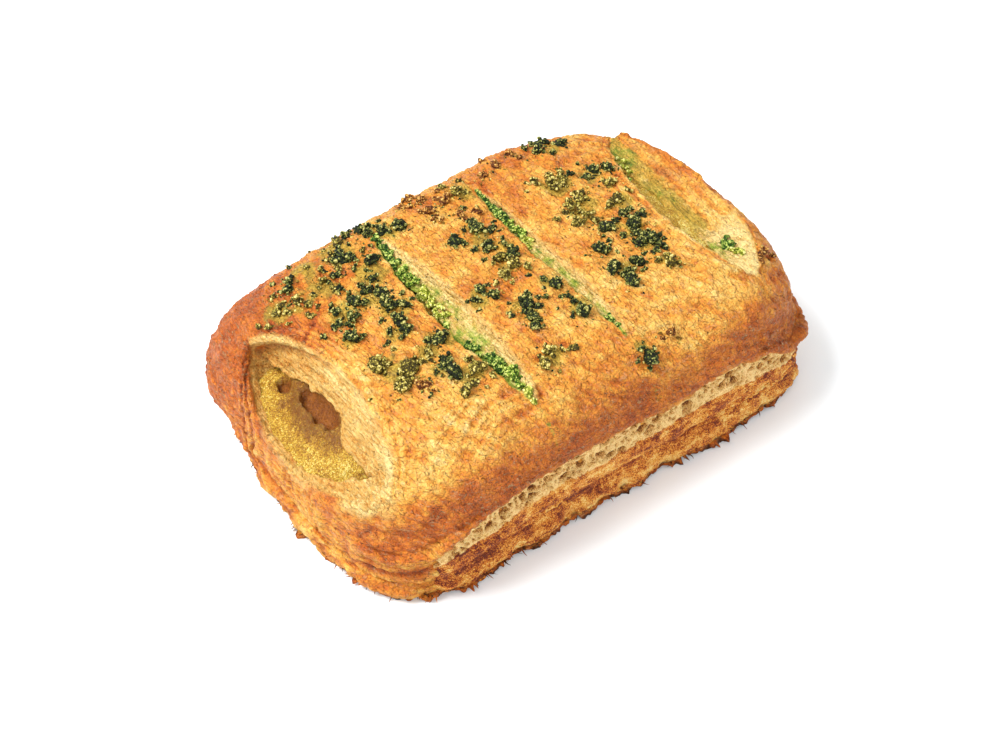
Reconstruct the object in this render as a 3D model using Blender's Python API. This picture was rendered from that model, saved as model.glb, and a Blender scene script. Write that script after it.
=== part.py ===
"""A danish pastry: a parcel of laminated dough, folded over a soft filling, slit four times
across the top, baked, and strewn with coarse nut and herb crumbs.

Frame: +X runs along the parcel, +Y to the folded long side, +Z up. The origin is the middle
of the flat underside, and the cut long edge of the dough faces -Y.
"""
import math
import random

import bmesh
import bpy
from mathutils import Matrix, Vector, noise

MM = 0.001

# The parcel's outline, as distances in millimetres from the middle to each side.
LEFT = 65.5
RIGHT = 69.0
FRONT = 40.3
BACK = 47.5
OUTLINE_POWER = 5.0
CROWN = 42.6
FRONT_SKEW = 1.4
LEFT_SKEW = 2.4
RIGHT_SKEW = 4.5

# How square the dome's corners are: front, back left and back right. Its fullness says how
# far out it stays high and its edge how steeply it ends, each for the front and left, and
# for the right end, which rose more. The folded back is nearly as full as the right end, but
# falls off more gently towards the left end.
DOME_POWERS = (4.0, 4.7, 3.9)
DOME_FULLNESS = (3.2, 5.8)
DOME_EDGE = (2.0, 2.9)
BACK_SHARE = 0.9
BACK_FALL = 0.6

# Lumps in the top: how wide, how high, and a seed. The strips between the slits puff up
# and dip beside a slit, and the dough rolls up in a rim round the two wide mouths.
LUMPS = ((17.0, 0.7, 3), (7.0, 0.3, 8))
STRIP_DIP = 1.1
STRIP_DIP_REACH = 14.0
RIM_RISE = 1.3
RIM_PLACE = 1.25
RIM_WIDTH = 0.4

# The sides waver a little, and the thin bottom edge is ragged.
WAVER = 0.3
RAGGED_EDGE = 1.5
RAGGED_SIZE = 6.0
RAGGED_SEED = 21

# The height of the top sheet's edge: level round the back, and wavy along the cut front,
# where each pair is a place along X and a height.
LIP_BACK = 18.0
LIP_FRONT = ((-66, 12), (-56, 17), (-47, 22), (-37, 25), (-26, 27.5), (-15, 27.5), (0, 26.5),
             (20, 25), (36, 27), (46, 24), (57, 18), (68, 15))

# How far the sides stand out (+) or draw in (-) from the outline. Each pair is a share of
# the lip's height and an offset. The front shows the bottom sheet, a brown fold above it,
# the pale crumb drawn in under the lip, and the lip itself.
SIDE_LEFT = ((0, -1.6), (0.07, 0.2), (0.22, 0.9), (0.36, -0.9), (0.55, -0.2), (0.8, 0.2), (1, 0))
SIDE_RIGHT = ((0, -3.2), (0.07, -2.0), (0.22, -1.4), (0.36, -2.8), (0.55, -1.0), (0.8, -0.2), (1, 0))
SIDE_BACK = ((0, -4.5), (0.07, -3.0), (0.22, -1.9), (0.36, -1.7), (0.55, -0.8), (0.8, -0.2), (1, 0))
SIDE_FRONT = ((0, -1.4), (0.05, 0.0), (0.18, 0.4), (0.32, -1.3), (0.45, 0.0), (0.6, -0.9),
              (0.74, -2.2), (0.87, -2.4), (0.92, 0.0), (0.97, 0.6), (1, 0.3))
LEVELS = (0, 0.05, 0.18, 0.32, 0.45, 0.6, 0.74, 0.87, 0.92, 0.97, 1.0)

# Corners that the folding left pulled out: side along X, side along Y, pull along each, and
# the share of the pull that the underside keeps.
CORNER_PULLS = ((-1, 1, 4.8, 6.0, 0.0), (1, -1, 1.8, 3.6, 1.0), (-1, -1, -2.6, 3.0, 1.0))
CORNER_TIP = 0.76
CORNER_SHARPNESS = 4

# The slits: middle of the mouth (x, y, z), length, width, depth, lean of the mouth from
# level towards -X in degrees, turn about Z in degrees, and how far the floor lies to -X.
SLITS = (
    ((-56.2, 1.5, 30.0), 57.0, 25.0, 8.5, 42.0, -1.0, 2.6),
    ((-16.6, 1.0, 41.6), 65.0, 8.0, 8.0, 0.0, 0.0, 0.8),
    ((13.2, 2.0, 41.6), 61.0, 4.2, 7.5, 0.0, 0.0, 0.3),
    ((53.6, -1.0, 39.2), 60.0, 20.5, 8.5, -14.0, -3.0, 3.0),
)
SLIT_RISE = 9.0
WIDE_SLIT = 12.0
LENS_POWER = 0.7
LENS_TIP = 0.985
FLOOR_NARROWING = 0.75

# The filling is a pillow under the top sheet, and the dough keeps off it by a hair's gap.
FILLING_SIDES = (61.6, 62.0, 31.0, 38.5)
FILLING_POWER = 4.0
FILLING_FLOOR = 7.5
FILLING_LIP = 15.0
FILLING_CROWN = 36.4
FILLING_TAPER = 0.06
FILLING_GAP = 0.35

# Where crumbs lie thick: middle (x, y), spread, how many, and their radius.
CRUMB_PATCHES = (
    (-36, 36, 3, 3, 1.5), (-27, 36, 4, 5, 1.3), (-15, 38, 3, 4, 1.6), (-13, 33, 2, 2, 1.5),
    (-48, 30, 3, 4, 1.2), (-42, 28, 3, 3, 1.2), (-36, 28, 3, 3, 1.1), (-25, 24, 4, 7, 1.7),
    (-29, 18, 3, 5, 1.5), (-37, 18, 3, 4, 1.2), (-26, 11, 3, 3, 2.0), (-40, 10, 1, 2, 1.6),
    (-30, 5, 3, 4, 2.1), (-24, -3, 3, 4, 1.8), (-29, -5, 2, 2, 1.6), (-37, -4, 3, 6, 2.1),
    (-30, -12, 2, 3, 2.0), (-25, -17, 2, 4, 1.9), (-36, -13, 2, 2, 1.2), (2, 36, 4, 5, 1.3),
    (2, 27, 3, 4, 1.0), (10, 33, 3, 3, 1.2), (21, 36, 4, 3, 1.2), (3, 17, 4, 8, 1.9),
    (6, 10, 2, 4, 1.6), (2, 5, 2, 4, 1.5), (-9, 1, 2, 3, 1.8), (-3, -9, 3, 7, 1.7),
    (-5, -24, 2, 3, 1.6), (38, 34, 3, 6, 1.5), (39, 18, 2, 3, 1.6), (30, 20, 3, 7, 1.6),
    (30, 10, 3, 6, 1.5), (39, 5, 2, 3, 1.5), (35, -2, 3, 8, 1.7), (25, -4, 1, 2, 2.0),
    (36, -9, 2, 5, 1.7), (25, -13, 2, 6, 1.9), (35, -17, 1, 2, 1.6), (8, -5, 2, 4, 1.6),
    (9, -16, 2, 4, 1.8), (15, -32, 1, 2, 2.0), (23, -33, 1, 2, 1.6), (58, -25, 1, 2, 1.3),
)
CRUMB_SEED = 11
CRUMB_SPACE = 0.8
CRUMB_RISE = 0.25
CRUMB_KNOBS = 0.16
CRUMB_TIP = 0.5
CRUMB_SIZES = (0.6, 1.2)
CRUMB_LONG = (0.9, 1.35)
CRUMB_WIDE = (0.8, 1.05)
CRUMB_TALL = 0.85
CRUMBS_FUSED = 104

CRUST_GRID = (40, 26, len(LEVELS) - 1)
FILLING_GRID = (18, 12, 4)
SLIT_GRID = (4, 12, 4)


def along(table, t):
    """Read a table of (place, value) pairs at t, easing smoothly from one to the next."""
    if t <= table[0][0]:
        return table[0][1]
    for (t0, a), (t1, b) in zip(table, table[1:]):
        if t <= t1:
            s = (t - t0) / (t1 - t0)
            return a + (b - a) * s * s * (3 - 2 * s)
    return table[-1][1]


def ease(low, high, t):
    """Rise smoothly from 0 at low to 1 at high."""
    s = min(1.0, max(0.0, (t - low) / (high - low)))
    return s * s * (3 - 2 * s)


def ripple(x, y, z, size, seed):
    """Smooth unevenness between about -1 and 1, whose lumps are size millimetres wide."""
    return noise.noise(Vector((x / size + seed, y / size, z / size)))


def rounded(u, v, power):
    """Move a point of the square from -1 to 1 into a rounded square of the same reach."""
    reach = max(abs(u), abs(v))
    if reach == 0:
        return 0.0, 0.0
    swell = ((abs(u) / reach) ** power + (abs(v) / reach) ** power) ** (1 / power)
    return u / swell, v / swell


def left_reach(y):
    """The left end's distance from the middle, which shrinks a little towards the back."""
    return LEFT - LEFT_SKEW * ease(0, 40, y)


def right_reach(y):
    """The right end's distance from the middle, which shrinks towards the back."""
    return RIGHT - RIGHT_SKEW * ease(5, 42, y)


def front_reach(x):
    """The front's distance from the middle, which grows a little towards the right."""
    return FRONT + FRONT_SKEW * ease(-30, 45, x)


def lip_height(x, v):
    """The height of the top sheet's edge at x; v is -1 on the front and 1 on the back."""
    front = ease(0.35, 0.95, -v)
    return LIP_BACK + (along(LIP_FRONT, x) - LIP_BACK) * front


def side_offset(cu, cv, share):
    """How far the side stands out at a share of the lip's height, along X and along Y."""
    across = along(SIDE_LEFT if cu < 0 else SIDE_RIGHT, share)
    deep = along(SIDE_FRONT if cv < 0 else SIDE_BACK, share)
    return across, deep


def corner_pull(cu, cv, share):
    """The nearest corner's pull along X and Y on a side point in the direction (cu, cv)."""
    for side_x, side_y, pull_x, pull_y, low in CORNER_PULLS:
        if cu * side_x > 0 and cv * side_y > 0:
            near = min(1.0, abs(cu * cv) / CORNER_TIP) ** CORNER_SHARPNESS
            near *= low + (1 - low) * ease(0.1, 0.6, share)
            return pull_x * near, pull_y * near
    return 0.0, 0.0


def dome_power(x, y):
    """How square the dome is towards the corner that (x, y) lies by."""
    front, back_left, back_right = DOME_POWERS
    back = ease(0, 30, y)
    right = ease(-20, 20, x)
    return front + back * ((1 - right) * (back_left - front) + right * (back_right - front))


def slit_place(slit, x, y):
    """A point's place in a slit's own frame: along it and across it, each 1 at the edge."""
    (cx, cy, _), length, width, _, lean, turn, _ = slit
    angle = math.radians(turn)
    dx, dy = x - cx, y - cy
    t = (dy * math.cos(angle) - dx * math.sin(angle)) / (length / 2)
    flat = width / 2 * math.cos(math.radians(lean))
    half = flat * max(1 - LENS_TIP, 1 - t * t) ** LENS_POWER
    return t, (dx * math.cos(angle) + dy * math.sin(angle)) / half


def relief(x, y):
    """Puffed strips between the slits, raised rims round the two end mouths, and lumps."""
    height = sum(high * ripple(x, y, 0, size, seed) for size, high, seed in LUMPS)
    for slit in SLITS:
        t, s = slit_place(slit, x, y)
        if abs(t) < 1 and slit[2] > WIDE_SLIT:
            height += (1 - t * t) * RIM_RISE * math.exp(-((abs(s) - RIM_PLACE) / RIM_WIDTH) ** 2)
        elif abs(t) < 1:
            height -= (1 - t * t) * STRIP_DIP * math.exp(-(s * slit[2] / STRIP_DIP_REACH) ** 2)
    return height


def dome(r, share):
    """The dome's height, from 1 in the middle to 0 at its edge, where r is 1."""
    fullness = DOME_FULLNESS[0] + (DOME_FULLNESS[1] - DOME_FULLNESS[0]) * share
    edge = DOME_EDGE[0] + (DOME_EDGE[1] - DOME_EDGE[0]) * share
    return (1 - min(1.0, r) ** fullness) ** (1 / edge)


def crust_height(x, y, lip):
    """The height of the baked top at (x, y), above the lip's height there."""
    rx = abs(x) / (left_reach(y) if x < 0 else right_reach(y))
    ry = abs(y) / (front_reach(x) if y < 0 else BACK)
    power = dome_power(x, y)
    r = (rx ** power + ry ** power) ** (1 / power)
    back_share = BACK_SHARE * (1 - BACK_FALL * ease(0.2, 0.9, -x / LEFT))
    share = max(ease(0.3, 0.9, x / RIGHT), back_share * ease(0.2, 0.8, y / BACK))
    rise = dome(r, share)
    return lip + (CROWN - lip) * rise + relief(x, y) * min(1.0, 1.6 * rise)


def crust_point(u, v, w):
    """Where a point of the cube's surface lies on the parcel; u, v and w go from -1 to 1."""
    u, v = spread(u), spread(v)
    reach = max(abs(u), abs(v))
    cu, cv = rounded(u, v, OUTLINE_POWER)
    share = LEVELS[round((w + 1) / 2 * (len(LEVELS) - 1))]
    pull_x, pull_y = corner_pull(cu, cv, share)
    across, deep = side_offset(cu, cv, share)
    y = cv * (FRONT if cv < 0 else BACK)
    shake = WAVER + RAGGED_EDGE * ease(0.3, 0.08, share)
    shake *= ripple(cu * LEFT, y, share * LIP_BACK, RAGGED_SIZE, RAGGED_SEED)
    x = cu * ((left_reach(y) if cu < 0 else right_reach(y)) + across + shake)
    y = cv * ((front_reach(x) if cv < 0 else BACK) + deep + shake)
    lip = lip_height(x, cv / max(reach, 1e-6))
    z = crust_height(x, y, lip) if w > 0.999 else share * lip
    return x + cu * pull_x, y + cv * pull_y, z


def spread(t):
    """Crowd the grid's lines towards the edges, where the dough turns down."""
    return 0.45 * t + 0.55 * math.sin(t * math.pi / 2)


def filling_point(u, v, w):
    """Where a point of the cube's surface lies on the filling."""
    u, v = spread(u), spread(v)
    left, right, front, back = FILLING_SIDES
    cu, cv = rounded(u, v, FILLING_POWER)
    r = max(abs(u), abs(v))
    share = (w + 1) / 2
    belly = 1 - FILLING_TAPER * (1 - share) ** 2
    x = cu * (left if cu < 0 else right) * belly
    y = cv * (front if cv < 0 else back) * belly
    if w > 0.999:
        return x, y, FILLING_LIP + (FILLING_CROWN - FILLING_LIP) * dome(r, ease(0.3, 0.9, x / right))
    return x, y, FILLING_FLOOR + (FILLING_LIP - FILLING_FLOOR) * share


def slit_point(slit):
    """A function that puts a point of the cube's surface on the slit's lens-shaped cutter."""
    _, length, width, depth, _, _, aside = slit

    def point(u, v, w):
        t = LENS_TIP * math.sin(v * math.pi / 2)
        sunk = max(0.0, -w)
        half = width / 2 * (1 - t * t) ** LENS_POWER * math.sqrt(1 - FLOOR_NARROWING * sunk * sunk)
        z = -depth * math.sqrt(1 - t * t) * sunk if w < 0 else SLIT_RISE * w
        return u * half - aside * sunk * (1 - t * t), t * length / 2, z

    return point


def shaped_cube(name, grid, point, collection):
    """Cut a cube into a grid along X, Y and Z, and move each point where point() says."""
    mesh = bpy.data.meshes.new(name)
    cube = bmesh.new()
    bmesh.ops.create_cube(cube, size=2.0)
    for axis, count in enumerate(grid):
        edges = [e for e in cube.edges if abs(e.verts[0].co[axis] - e.verts[1].co[axis]) > 0.001]
        bmesh.ops.subdivide_edges(cube, edges=edges, cuts=count - 1, use_grid_fill=True)
    for vert in cube.verts:
        vert.co = Vector(point(*vert.co)) * MM
    bmesh.ops.recalc_face_normals(cube, faces=cube.faces)
    cube.to_mesh(mesh)
    cube.free()
    piece = bpy.data.objects.new(name, mesh)
    collection.objects.link(piece)
    return piece


def new_collection(name):
    """Make a collection in the scene."""
    collection = bpy.data.collections.new(name)
    bpy.context.scene.collection.children.link(collection)
    return collection


def new_material(name, colour, roughness):
    """A plain material with the baked colour."""
    material = bpy.data.materials.new(name)
    material.use_nodes = True
    shader = material.node_tree.nodes["Principled BSDF"]
    shader.inputs["Base Color"].default_value = (*colour, 1.0)
    shader.inputs["Roughness"].default_value = roughness
    shader.inputs["Metallic"].default_value = 0.0
    return material


def apply_boolean(piece, operation, operand, solver="EXACT"):
    """Cut or join one object, or a collection of them, and keep the result as the mesh."""
    change = piece.modifiers.new(operation.lower(), "BOOLEAN")
    change.operation = operation
    change.solver = solver
    if isinstance(operand, bpy.types.Collection):
        change.operand_type = "COLLECTION"
        change.collection = operand
    else:
        change.object = operand
    view = bpy.context.evaluated_depsgraph_get()
    mesh = bpy.data.meshes.new_from_object(piece.evaluated_get(view))
    old = piece.data
    piece.modifiers.clear()
    piece.data = mesh
    bpy.data.meshes.remove(old)


def hide_as_cutter(cutter):
    """Show a cutter as a wire and keep it out of the picture."""
    cutter.hide_render = True
    cutter.display_type = "WIRE"


def make_filling(parts):
    """The pillow of filling, which shows through the four slits."""
    filling = shaped_cube("filling", FILLING_GRID, filling_point, parts)
    filling.data.materials.append(new_material("filling", (0.48, 0.30, 0.05), 0.35))
    return filling


def make_hollow(filling, cutters):
    """The space that the filling lies in: the same pillow, larger by the gap all round."""
    hollow = filling.copy()
    hollow.data = filling.data.copy()
    hollow.name = "filling_space"
    cutters.objects.link(hollow)
    corners = [Vector(c) for c in filling.bound_box]
    low = Vector(min(c[i] for c in corners) for i in range(3))
    high = Vector(max(c[i] for c in corners) for i in range(3))
    middle = (low + high) / 2
    size = high - low
    grow = Vector((s + 2 * FILLING_GAP * MM) / s for s in size)
    hollow.data.transform(Matrix.Translation(middle) @ Matrix.Diagonal((*grow, 1.0))
                          @ Matrix.Translation(-middle))
    hide_as_cutter(hollow)
    return hollow


def make_slit_cutter(index, slit, cutters):
    """One lens-shaped cutter, leaned with the dough's slope at its mouth."""
    (x, y, z), _, _, _, lean, turn, _ = slit
    cutter = shaped_cube(f"slit_{index}", SLIT_GRID, slit_point(slit), cutters)
    cutter.data.transform(Matrix.Translation(Vector((x, y, z)) * MM)
                          @ Matrix.Rotation(math.radians(turn), 4, "Z")
                          @ Matrix.Rotation(math.radians(-lean), 4, "Y"))
    hide_as_cutter(cutter)
    return cutter


def crumb_places():
    """Draw the crumbs' places patch by patch, the largest first, off the slits and apart."""
    draw = random.Random(CRUMB_SEED)
    wanted = []
    for x, y, spread_out, count, radius in CRUMB_PATCHES:
        for _ in range(count):
            size = radius * draw.uniform(*CRUMB_SIZES)
            wanted.append((size, draw.gauss(x, spread_out), draw.gauss(y, spread_out)))
    places = []
    for size, x, y in sorted(wanted, reverse=True):
        if any(math.hypot(x - px, y - py) < CRUMB_SPACE * (size + ps) for px, py, ps in places):
            continue
        if any(on_slit(slit, x, y, size) for slit in SLITS):
            continue
        places.append((x, y, size))
    return places[:CRUMBS_FUSED]


def on_slit(slit, x, y, size):
    """Whether a crumb of this size would reach over the slit."""
    t, s = slit_place(slit, x, y)
    reach = 1 + 1.1 * size / (slit[2] / 2)
    return abs(t) < 1.05 and abs(s) < reach


def make_crumbs(crumbs):
    """Knobbly crumbs, each a coarse ball squashed and turned, and sunk a little in the crust."""
    draw = random.Random(CRUMB_SEED + 1)
    for index, (x, y, size) in enumerate(crumb_places()):
        mesh = bpy.data.meshes.new(f"crumb_{index}")
        ball = bmesh.new()
        bmesh.ops.create_icosphere(ball, subdivisions=1, radius=size)
        for vert in ball.verts:
            vert.co *= 1 + draw.uniform(-CRUMB_KNOBS, CRUMB_KNOBS)
        stretch = Matrix.Diagonal((draw.uniform(*CRUMB_LONG), draw.uniform(*CRUMB_WIDE), CRUMB_TALL, 1))
        turn = Matrix.Rotation(draw.uniform(0, math.tau), 4, "Z")
        tip = Matrix.Rotation(draw.uniform(-CRUMB_TIP, CRUMB_TIP), 4, "X")
        z = crust_height(x, y, LIP_BACK) + size * CRUMB_RISE
        ball.transform(Matrix.Scale(MM, 4) @ Matrix.Translation((x, y, z)) @ turn @ tip @ stretch)
        ball.to_mesh(mesh)
        ball.free()
        crumbs.objects.link(bpy.data.objects.new(f"crumb_{index}", mesh))


def remove_collection(collection):
    """Remove a collection with the objects in it."""
    for piece in list(collection.objects):
        bpy.data.objects.remove(piece, do_unlink=True)
    bpy.data.collections.remove(collection)


def tidy_mesh(piece):
    """Weld stray doubles, make the flat underside one face, and shade the crust smooth."""
    shape = bmesh.new()
    shape.from_mesh(piece.data)
    bmesh.ops.remove_doubles(shape, verts=shape.verts, dist=0.01 * MM)
    under = [f for f in shape.faces if f.normal.z < -0.999 and f.calc_center_median().z < 0.01 * MM]
    bmesh.ops.dissolve_faces(shape, faces=under, use_verts=True)
    bmesh.ops.triangulate(shape, faces=shape.faces)
    bmesh.ops.recalc_face_normals(shape, faces=shape.faces)
    shape.to_mesh(piece.data)
    shape.free()
    piece.data.shade_smooth()
    piece.data.set_sharp_from_angle(angle=math.radians(40))


def centre_on_origin(pastry, others):
    """Put the origin under the middle of the pastry's box, and move the rest with it."""
    low = [min(v.co[axis] for v in pastry.data.vertices) for axis in range(3)]
    high = [max(v.co[axis] for v in pastry.data.vertices) for axis in range(3)]
    shift = Matrix.Translation((-(low[0] + high[0]) / 2, -(low[1] + high[1]) / 2, 0))
    for piece in (pastry, *others):
        piece.data.transform(shift)


def main():
    for piece in list(bpy.data.objects):
        bpy.data.objects.remove(piece, do_unlink=True)
    parts = new_collection("danish_pastry")
    cutters = new_collection("cutters")
    filling = make_filling(parts)
    pastry = shaped_cube("pastry", CRUST_GRID, crust_point, parts)
    pastry.data.materials.append(new_material("crust", (0.80, 0.42, 0.13), 0.45))
    apply_boolean(pastry, "DIFFERENCE", make_hollow(filling, cutters))
    for index, slit in enumerate(SLITS, start=1):
        apply_boolean(pastry, "DIFFERENCE", make_slit_cutter(index, slit, cutters))
    crumbs = new_collection("crumbs")
    make_crumbs(crumbs)
    apply_boolean(pastry, "UNION", crumbs, "MANIFOLD")
    remove_collection(crumbs)
    tidy_mesh(pastry)
    tidy_mesh(filling)
    centre_on_origin(pastry, [filling, *cutters.objects])


main()
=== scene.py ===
# %% [markdown]
# # A danish pastry, baked and strewn with crumbs
# The real thing is a parcel of laminated dough. It was folded over a soft filling, slit four
# times across the top, brushed with egg, strewn with herb and nut crumbs, and baked. The solid
# model gives its main form; this lesson gives each surface its finish. We load the packed
# model first, because every piece is made in its frame.

import math
import random

import bmesh
import bpy
import numpy as np
from mathutils import Matrix, Vector, noise
from mathutils.bvhtree import BVHTree


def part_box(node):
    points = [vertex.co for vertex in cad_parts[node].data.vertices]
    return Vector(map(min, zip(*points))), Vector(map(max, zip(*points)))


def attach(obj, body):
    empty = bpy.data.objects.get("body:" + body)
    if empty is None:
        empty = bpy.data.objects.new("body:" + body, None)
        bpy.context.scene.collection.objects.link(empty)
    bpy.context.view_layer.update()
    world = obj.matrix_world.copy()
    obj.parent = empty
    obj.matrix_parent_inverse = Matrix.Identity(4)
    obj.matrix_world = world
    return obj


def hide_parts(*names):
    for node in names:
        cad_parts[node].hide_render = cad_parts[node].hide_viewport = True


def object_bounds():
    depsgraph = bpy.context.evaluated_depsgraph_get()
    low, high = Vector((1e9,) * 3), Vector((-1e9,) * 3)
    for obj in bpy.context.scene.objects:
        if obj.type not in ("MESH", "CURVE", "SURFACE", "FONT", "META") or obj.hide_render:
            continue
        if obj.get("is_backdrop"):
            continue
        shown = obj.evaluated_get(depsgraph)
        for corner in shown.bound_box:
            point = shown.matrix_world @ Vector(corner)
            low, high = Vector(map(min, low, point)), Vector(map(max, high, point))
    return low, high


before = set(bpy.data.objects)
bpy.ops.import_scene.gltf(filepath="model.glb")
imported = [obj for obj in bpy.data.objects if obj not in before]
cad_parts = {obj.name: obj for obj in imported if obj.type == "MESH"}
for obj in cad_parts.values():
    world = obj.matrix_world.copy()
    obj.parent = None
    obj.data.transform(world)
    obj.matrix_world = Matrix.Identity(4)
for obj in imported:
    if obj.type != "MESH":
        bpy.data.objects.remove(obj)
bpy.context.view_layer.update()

# %% [markdown]
# We work in millimetres, as a baker measures, around the middle of the parcel's outline. The
# packed part has its own origin under the middle of its box, so every finished piece is
# scaled to metres and moved by one shift. The filling's box tells how large the shift is.

# %% Millimetres and the shift
MM = 0.001
FILLING_SIDES = (61.6, 62.0, 31.0, 38.5)

filling_low, filling_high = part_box("filling")
left, right, front, back = FILLING_SIDES
SHIFT = np.array([
    (filling_low[0] + filling_high[0]) / 2 - (right - left) / 2 * MM,
    (filling_low[1] + filling_high[1]) / 2 - (back - front) / 2 * MM,
    0.0,
])
print("pieces are shifted by", (SHIFT * 1000).round(2), "mm")

# %% [markdown]
# Dough is never even, so we need unevenness of every size. A lattice of steady random numbers,
# blended smoothly from cell to cell, gives lumps. The distance to scattered middles gives
# cells, which later become blisters, crumb holes and grains. Both are worked out for all places
# at once with numpy, because a fine mesh has hundreds of thousands of corners.

# %% Unevenness
def scatter(cells, seed):
    """A steady random number from -1 to 1 for each whole-number cell."""
    mixed = np.sin(cells @ np.array((12.9898, 78.233, 37.719)) + seed * 7.13) * 43758.5453
    return 2 * (mixed - np.floor(mixed)) - 1


def lumps(places, size, seed):
    """Smooth unevenness from -1 to 1; the size of the lumps may differ along the axes."""
    cell, part = np.divmod(places / size, 1.0)
    part = part * part * (3 - 2 * part)
    total = np.zeros(len(places))
    for corner in np.ndindex(2, 2, 2):
        weight = np.prod(np.where(corner, part, 1 - part), axis=1)
        total += weight * scatter(cell + corner, seed)
    return total


def cells(places, size, seed):
    """How far each place is from the nearest and the next middle, and the nearest's number."""
    scaled = places / size
    home = np.floor(scaled)
    first = np.full(len(places), 9.0)
    second = first.copy()
    number = np.zeros(len(places))
    for step in np.ndindex(3, 3, 3):
        cell = home + step - 1
        middle = cell + 0.5 + 0.4 * np.stack([scatter(cell, seed + k) for k in range(3)], axis=1)
        far = np.linalg.norm(scaled - middle, axis=1)
        number = np.where(far < first, scatter(cell, seed + 5), number)
        second = np.minimum(second, np.maximum(first, far))
        first = np.minimum(first, far)
    return first, second, number


def ripple(x, y, z, size, seed):
    """The solid model's own unevenness, place by place."""
    spots = np.broadcast_arrays(x / size + seed, y / size, z / size)
    return np.array([noise.noise(Vector(spot)) for spot in zip(*spots)])


trial = lumps(np.random.default_rng(1).uniform(0, 99, (4000, 3)), 3.0, 2)
print("lumps reach from", trial.min().round(2), "to", trial.max().round(2))

# %% [markdown]
# The parcel's form is the same as in the solid model: a rounded square outline, sides that
# step in and out with the layers, and a dome of a top. We repeat its named sizes here and
# write the same formulas for whole arrays of places, so that a much finer mesh has the same
# form, and the solid and its finish never drift apart.

# %% The parcel's sizes
LEFT, RIGHT, FRONT, BACK = 65.5, 69.0, 40.3, 47.5
OUTLINE_POWER = 5.0
CROWN = 42.6
FRONT_SKEW, LEFT_SKEW, RIGHT_SKEW = 1.4, 2.4, 4.5
DOME_POWERS = (4.0, 4.7, 3.9)
DOME_FULLNESS = (3.2, 5.8)
DOME_EDGE = (2.0, 2.9)
BACK_SHARE, BACK_FALL = 0.9, 0.6
LUMPS = ((17.0, 0.7, 3), (7.0, 0.3, 8))
STRIP_DIP, STRIP_DIP_REACH = 1.1, 14.0
RIM_RISE, RIM_PLACE, RIM_WIDTH = 1.3, 1.25, 0.4
WAVER, RAGGED_EDGE, RAGGED_SIZE, RAGGED_SEED = 0.3, 1.5, 6.0, 21
LIP_BACK = 18.0
LIP_FRONT = ((-66, 12), (-56, 17), (-47, 22), (-37, 25), (-26, 27.5), (-15, 27.5), (0, 26.5),
             (20, 25), (36, 27), (46, 24), (57, 18), (68, 15))
SIDE_LEFT = ((0, -1.6), (0.07, 0.2), (0.22, 0.9), (0.36, -0.9), (0.55, -0.2), (0.8, 0.2), (1, 0))
SIDE_RIGHT = ((0, -3.2), (0.07, -2.0), (0.22, -1.4), (0.36, -2.8), (0.55, -1.0), (0.8, -0.2), (1, 0))
SIDE_BACK = ((0, -4.5), (0.07, -3.0), (0.22, -1.9), (0.36, -1.7), (0.55, -0.8), (0.8, -0.2), (1, 0))
SIDE_FRONT = ((0, -1.4), (0.05, 0.0), (0.18, 0.4), (0.32, -1.3), (0.45, 0.0), (0.6, -0.9),
              (0.74, -2.2), (0.87, -2.4), (0.92, 0.0), (0.97, 0.6), (1, 0.3))
CORNER_PULLS = ((-1, 1, 4.8, 6.0, 0.0), (1, -1, 1.8, 3.6, 1.0), (-1, -1, -2.6, 3.0, 1.0))
CORNER_TIP, CORNER_SHARPNESS = 0.76, 4
SLITS = (
    ((-56.2, 1.5, 30.0), 57.0, 25.0, 8.5, 42.0, -1.0, 2.6),
    ((-16.6, 1.0, 41.6), 65.0, 8.0, 8.0, 0.0, 0.0, 0.8),
    ((13.2, 2.0, 41.6), 61.0, 4.2, 7.5, 0.0, 0.0, 0.3),
    ((53.6, -1.0, 39.2), 60.0, 20.5, 8.5, -14.0, -3.0, 3.0),
)
SLIT_RISE, WIDE_SLIT, LENS_POWER, LENS_TIP, FLOOR_NARROWING = 9.0, 12.0, 0.7, 0.985, 0.75
FILLING_POWER, FILLING_FLOOR, FILLING_LIP, FILLING_CROWN = 4.0, 7.5, 15.0, 36.4
FILLING_TAPER = 0.06
print("the parcel is about", LEFT + RIGHT, "by", FRONT + BACK, "by", CROWN, "mm, with", len(SLITS), "slits")

# %% [markdown]
# Three small helpers come back in every formula. One reads a table and eases from one entry to
# the next, one rises smoothly between two values, and one pushes a square's places into a
# rounded square.

# %% Helpers of the form
def along(table, t):
    """Read a table of (place, value) pairs at t, easing smoothly from one to the next."""
    places, values = np.array(table, float).T
    first = np.clip(np.searchsorted(places, t) - 1, 0, len(places) - 2)
    s = np.clip((t - places[first]) / (places[first + 1] - places[first]), 0, 1)
    return values[first] + (values[first + 1] - values[first]) * s * s * (3 - 2 * s)


def ease(low, high, t):
    """Rise smoothly from 0 at low to 1 at high."""
    s = np.clip((t - low) / (high - low), 0, 1)
    return s * s * (3 - 2 * s)


def bell(t, middle, width):
    """1 at the middle, and down to nothing a few widths away."""
    return np.exp(-((t - middle) / width) ** 2)


def rounded(u, v, power):
    """Move places of the square from -1 to 1 into a rounded square of the same reach."""
    reach = np.maximum(np.maximum(np.abs(u), np.abs(v)), 1e-9)
    swell = ((np.abs(u) / reach) ** power + (np.abs(v) / reach) ** power) ** (1 / power)
    return u / swell, v / swell


def spread(t):
    """Crowd the grid's lines towards the edges, where the dough turns down."""
    return 0.45 * t + 0.55 * np.sin(t * np.pi / 2)


def left_reach(y):
    """How far the outline reaches to the left at y; the parcel narrows towards the back."""
    return LEFT - LEFT_SKEW * ease(0, 40, y)


def right_reach(y):
    """How far the outline reaches to the right at y."""
    return RIGHT - RIGHT_SKEW * ease(5, 42, y)


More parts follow.
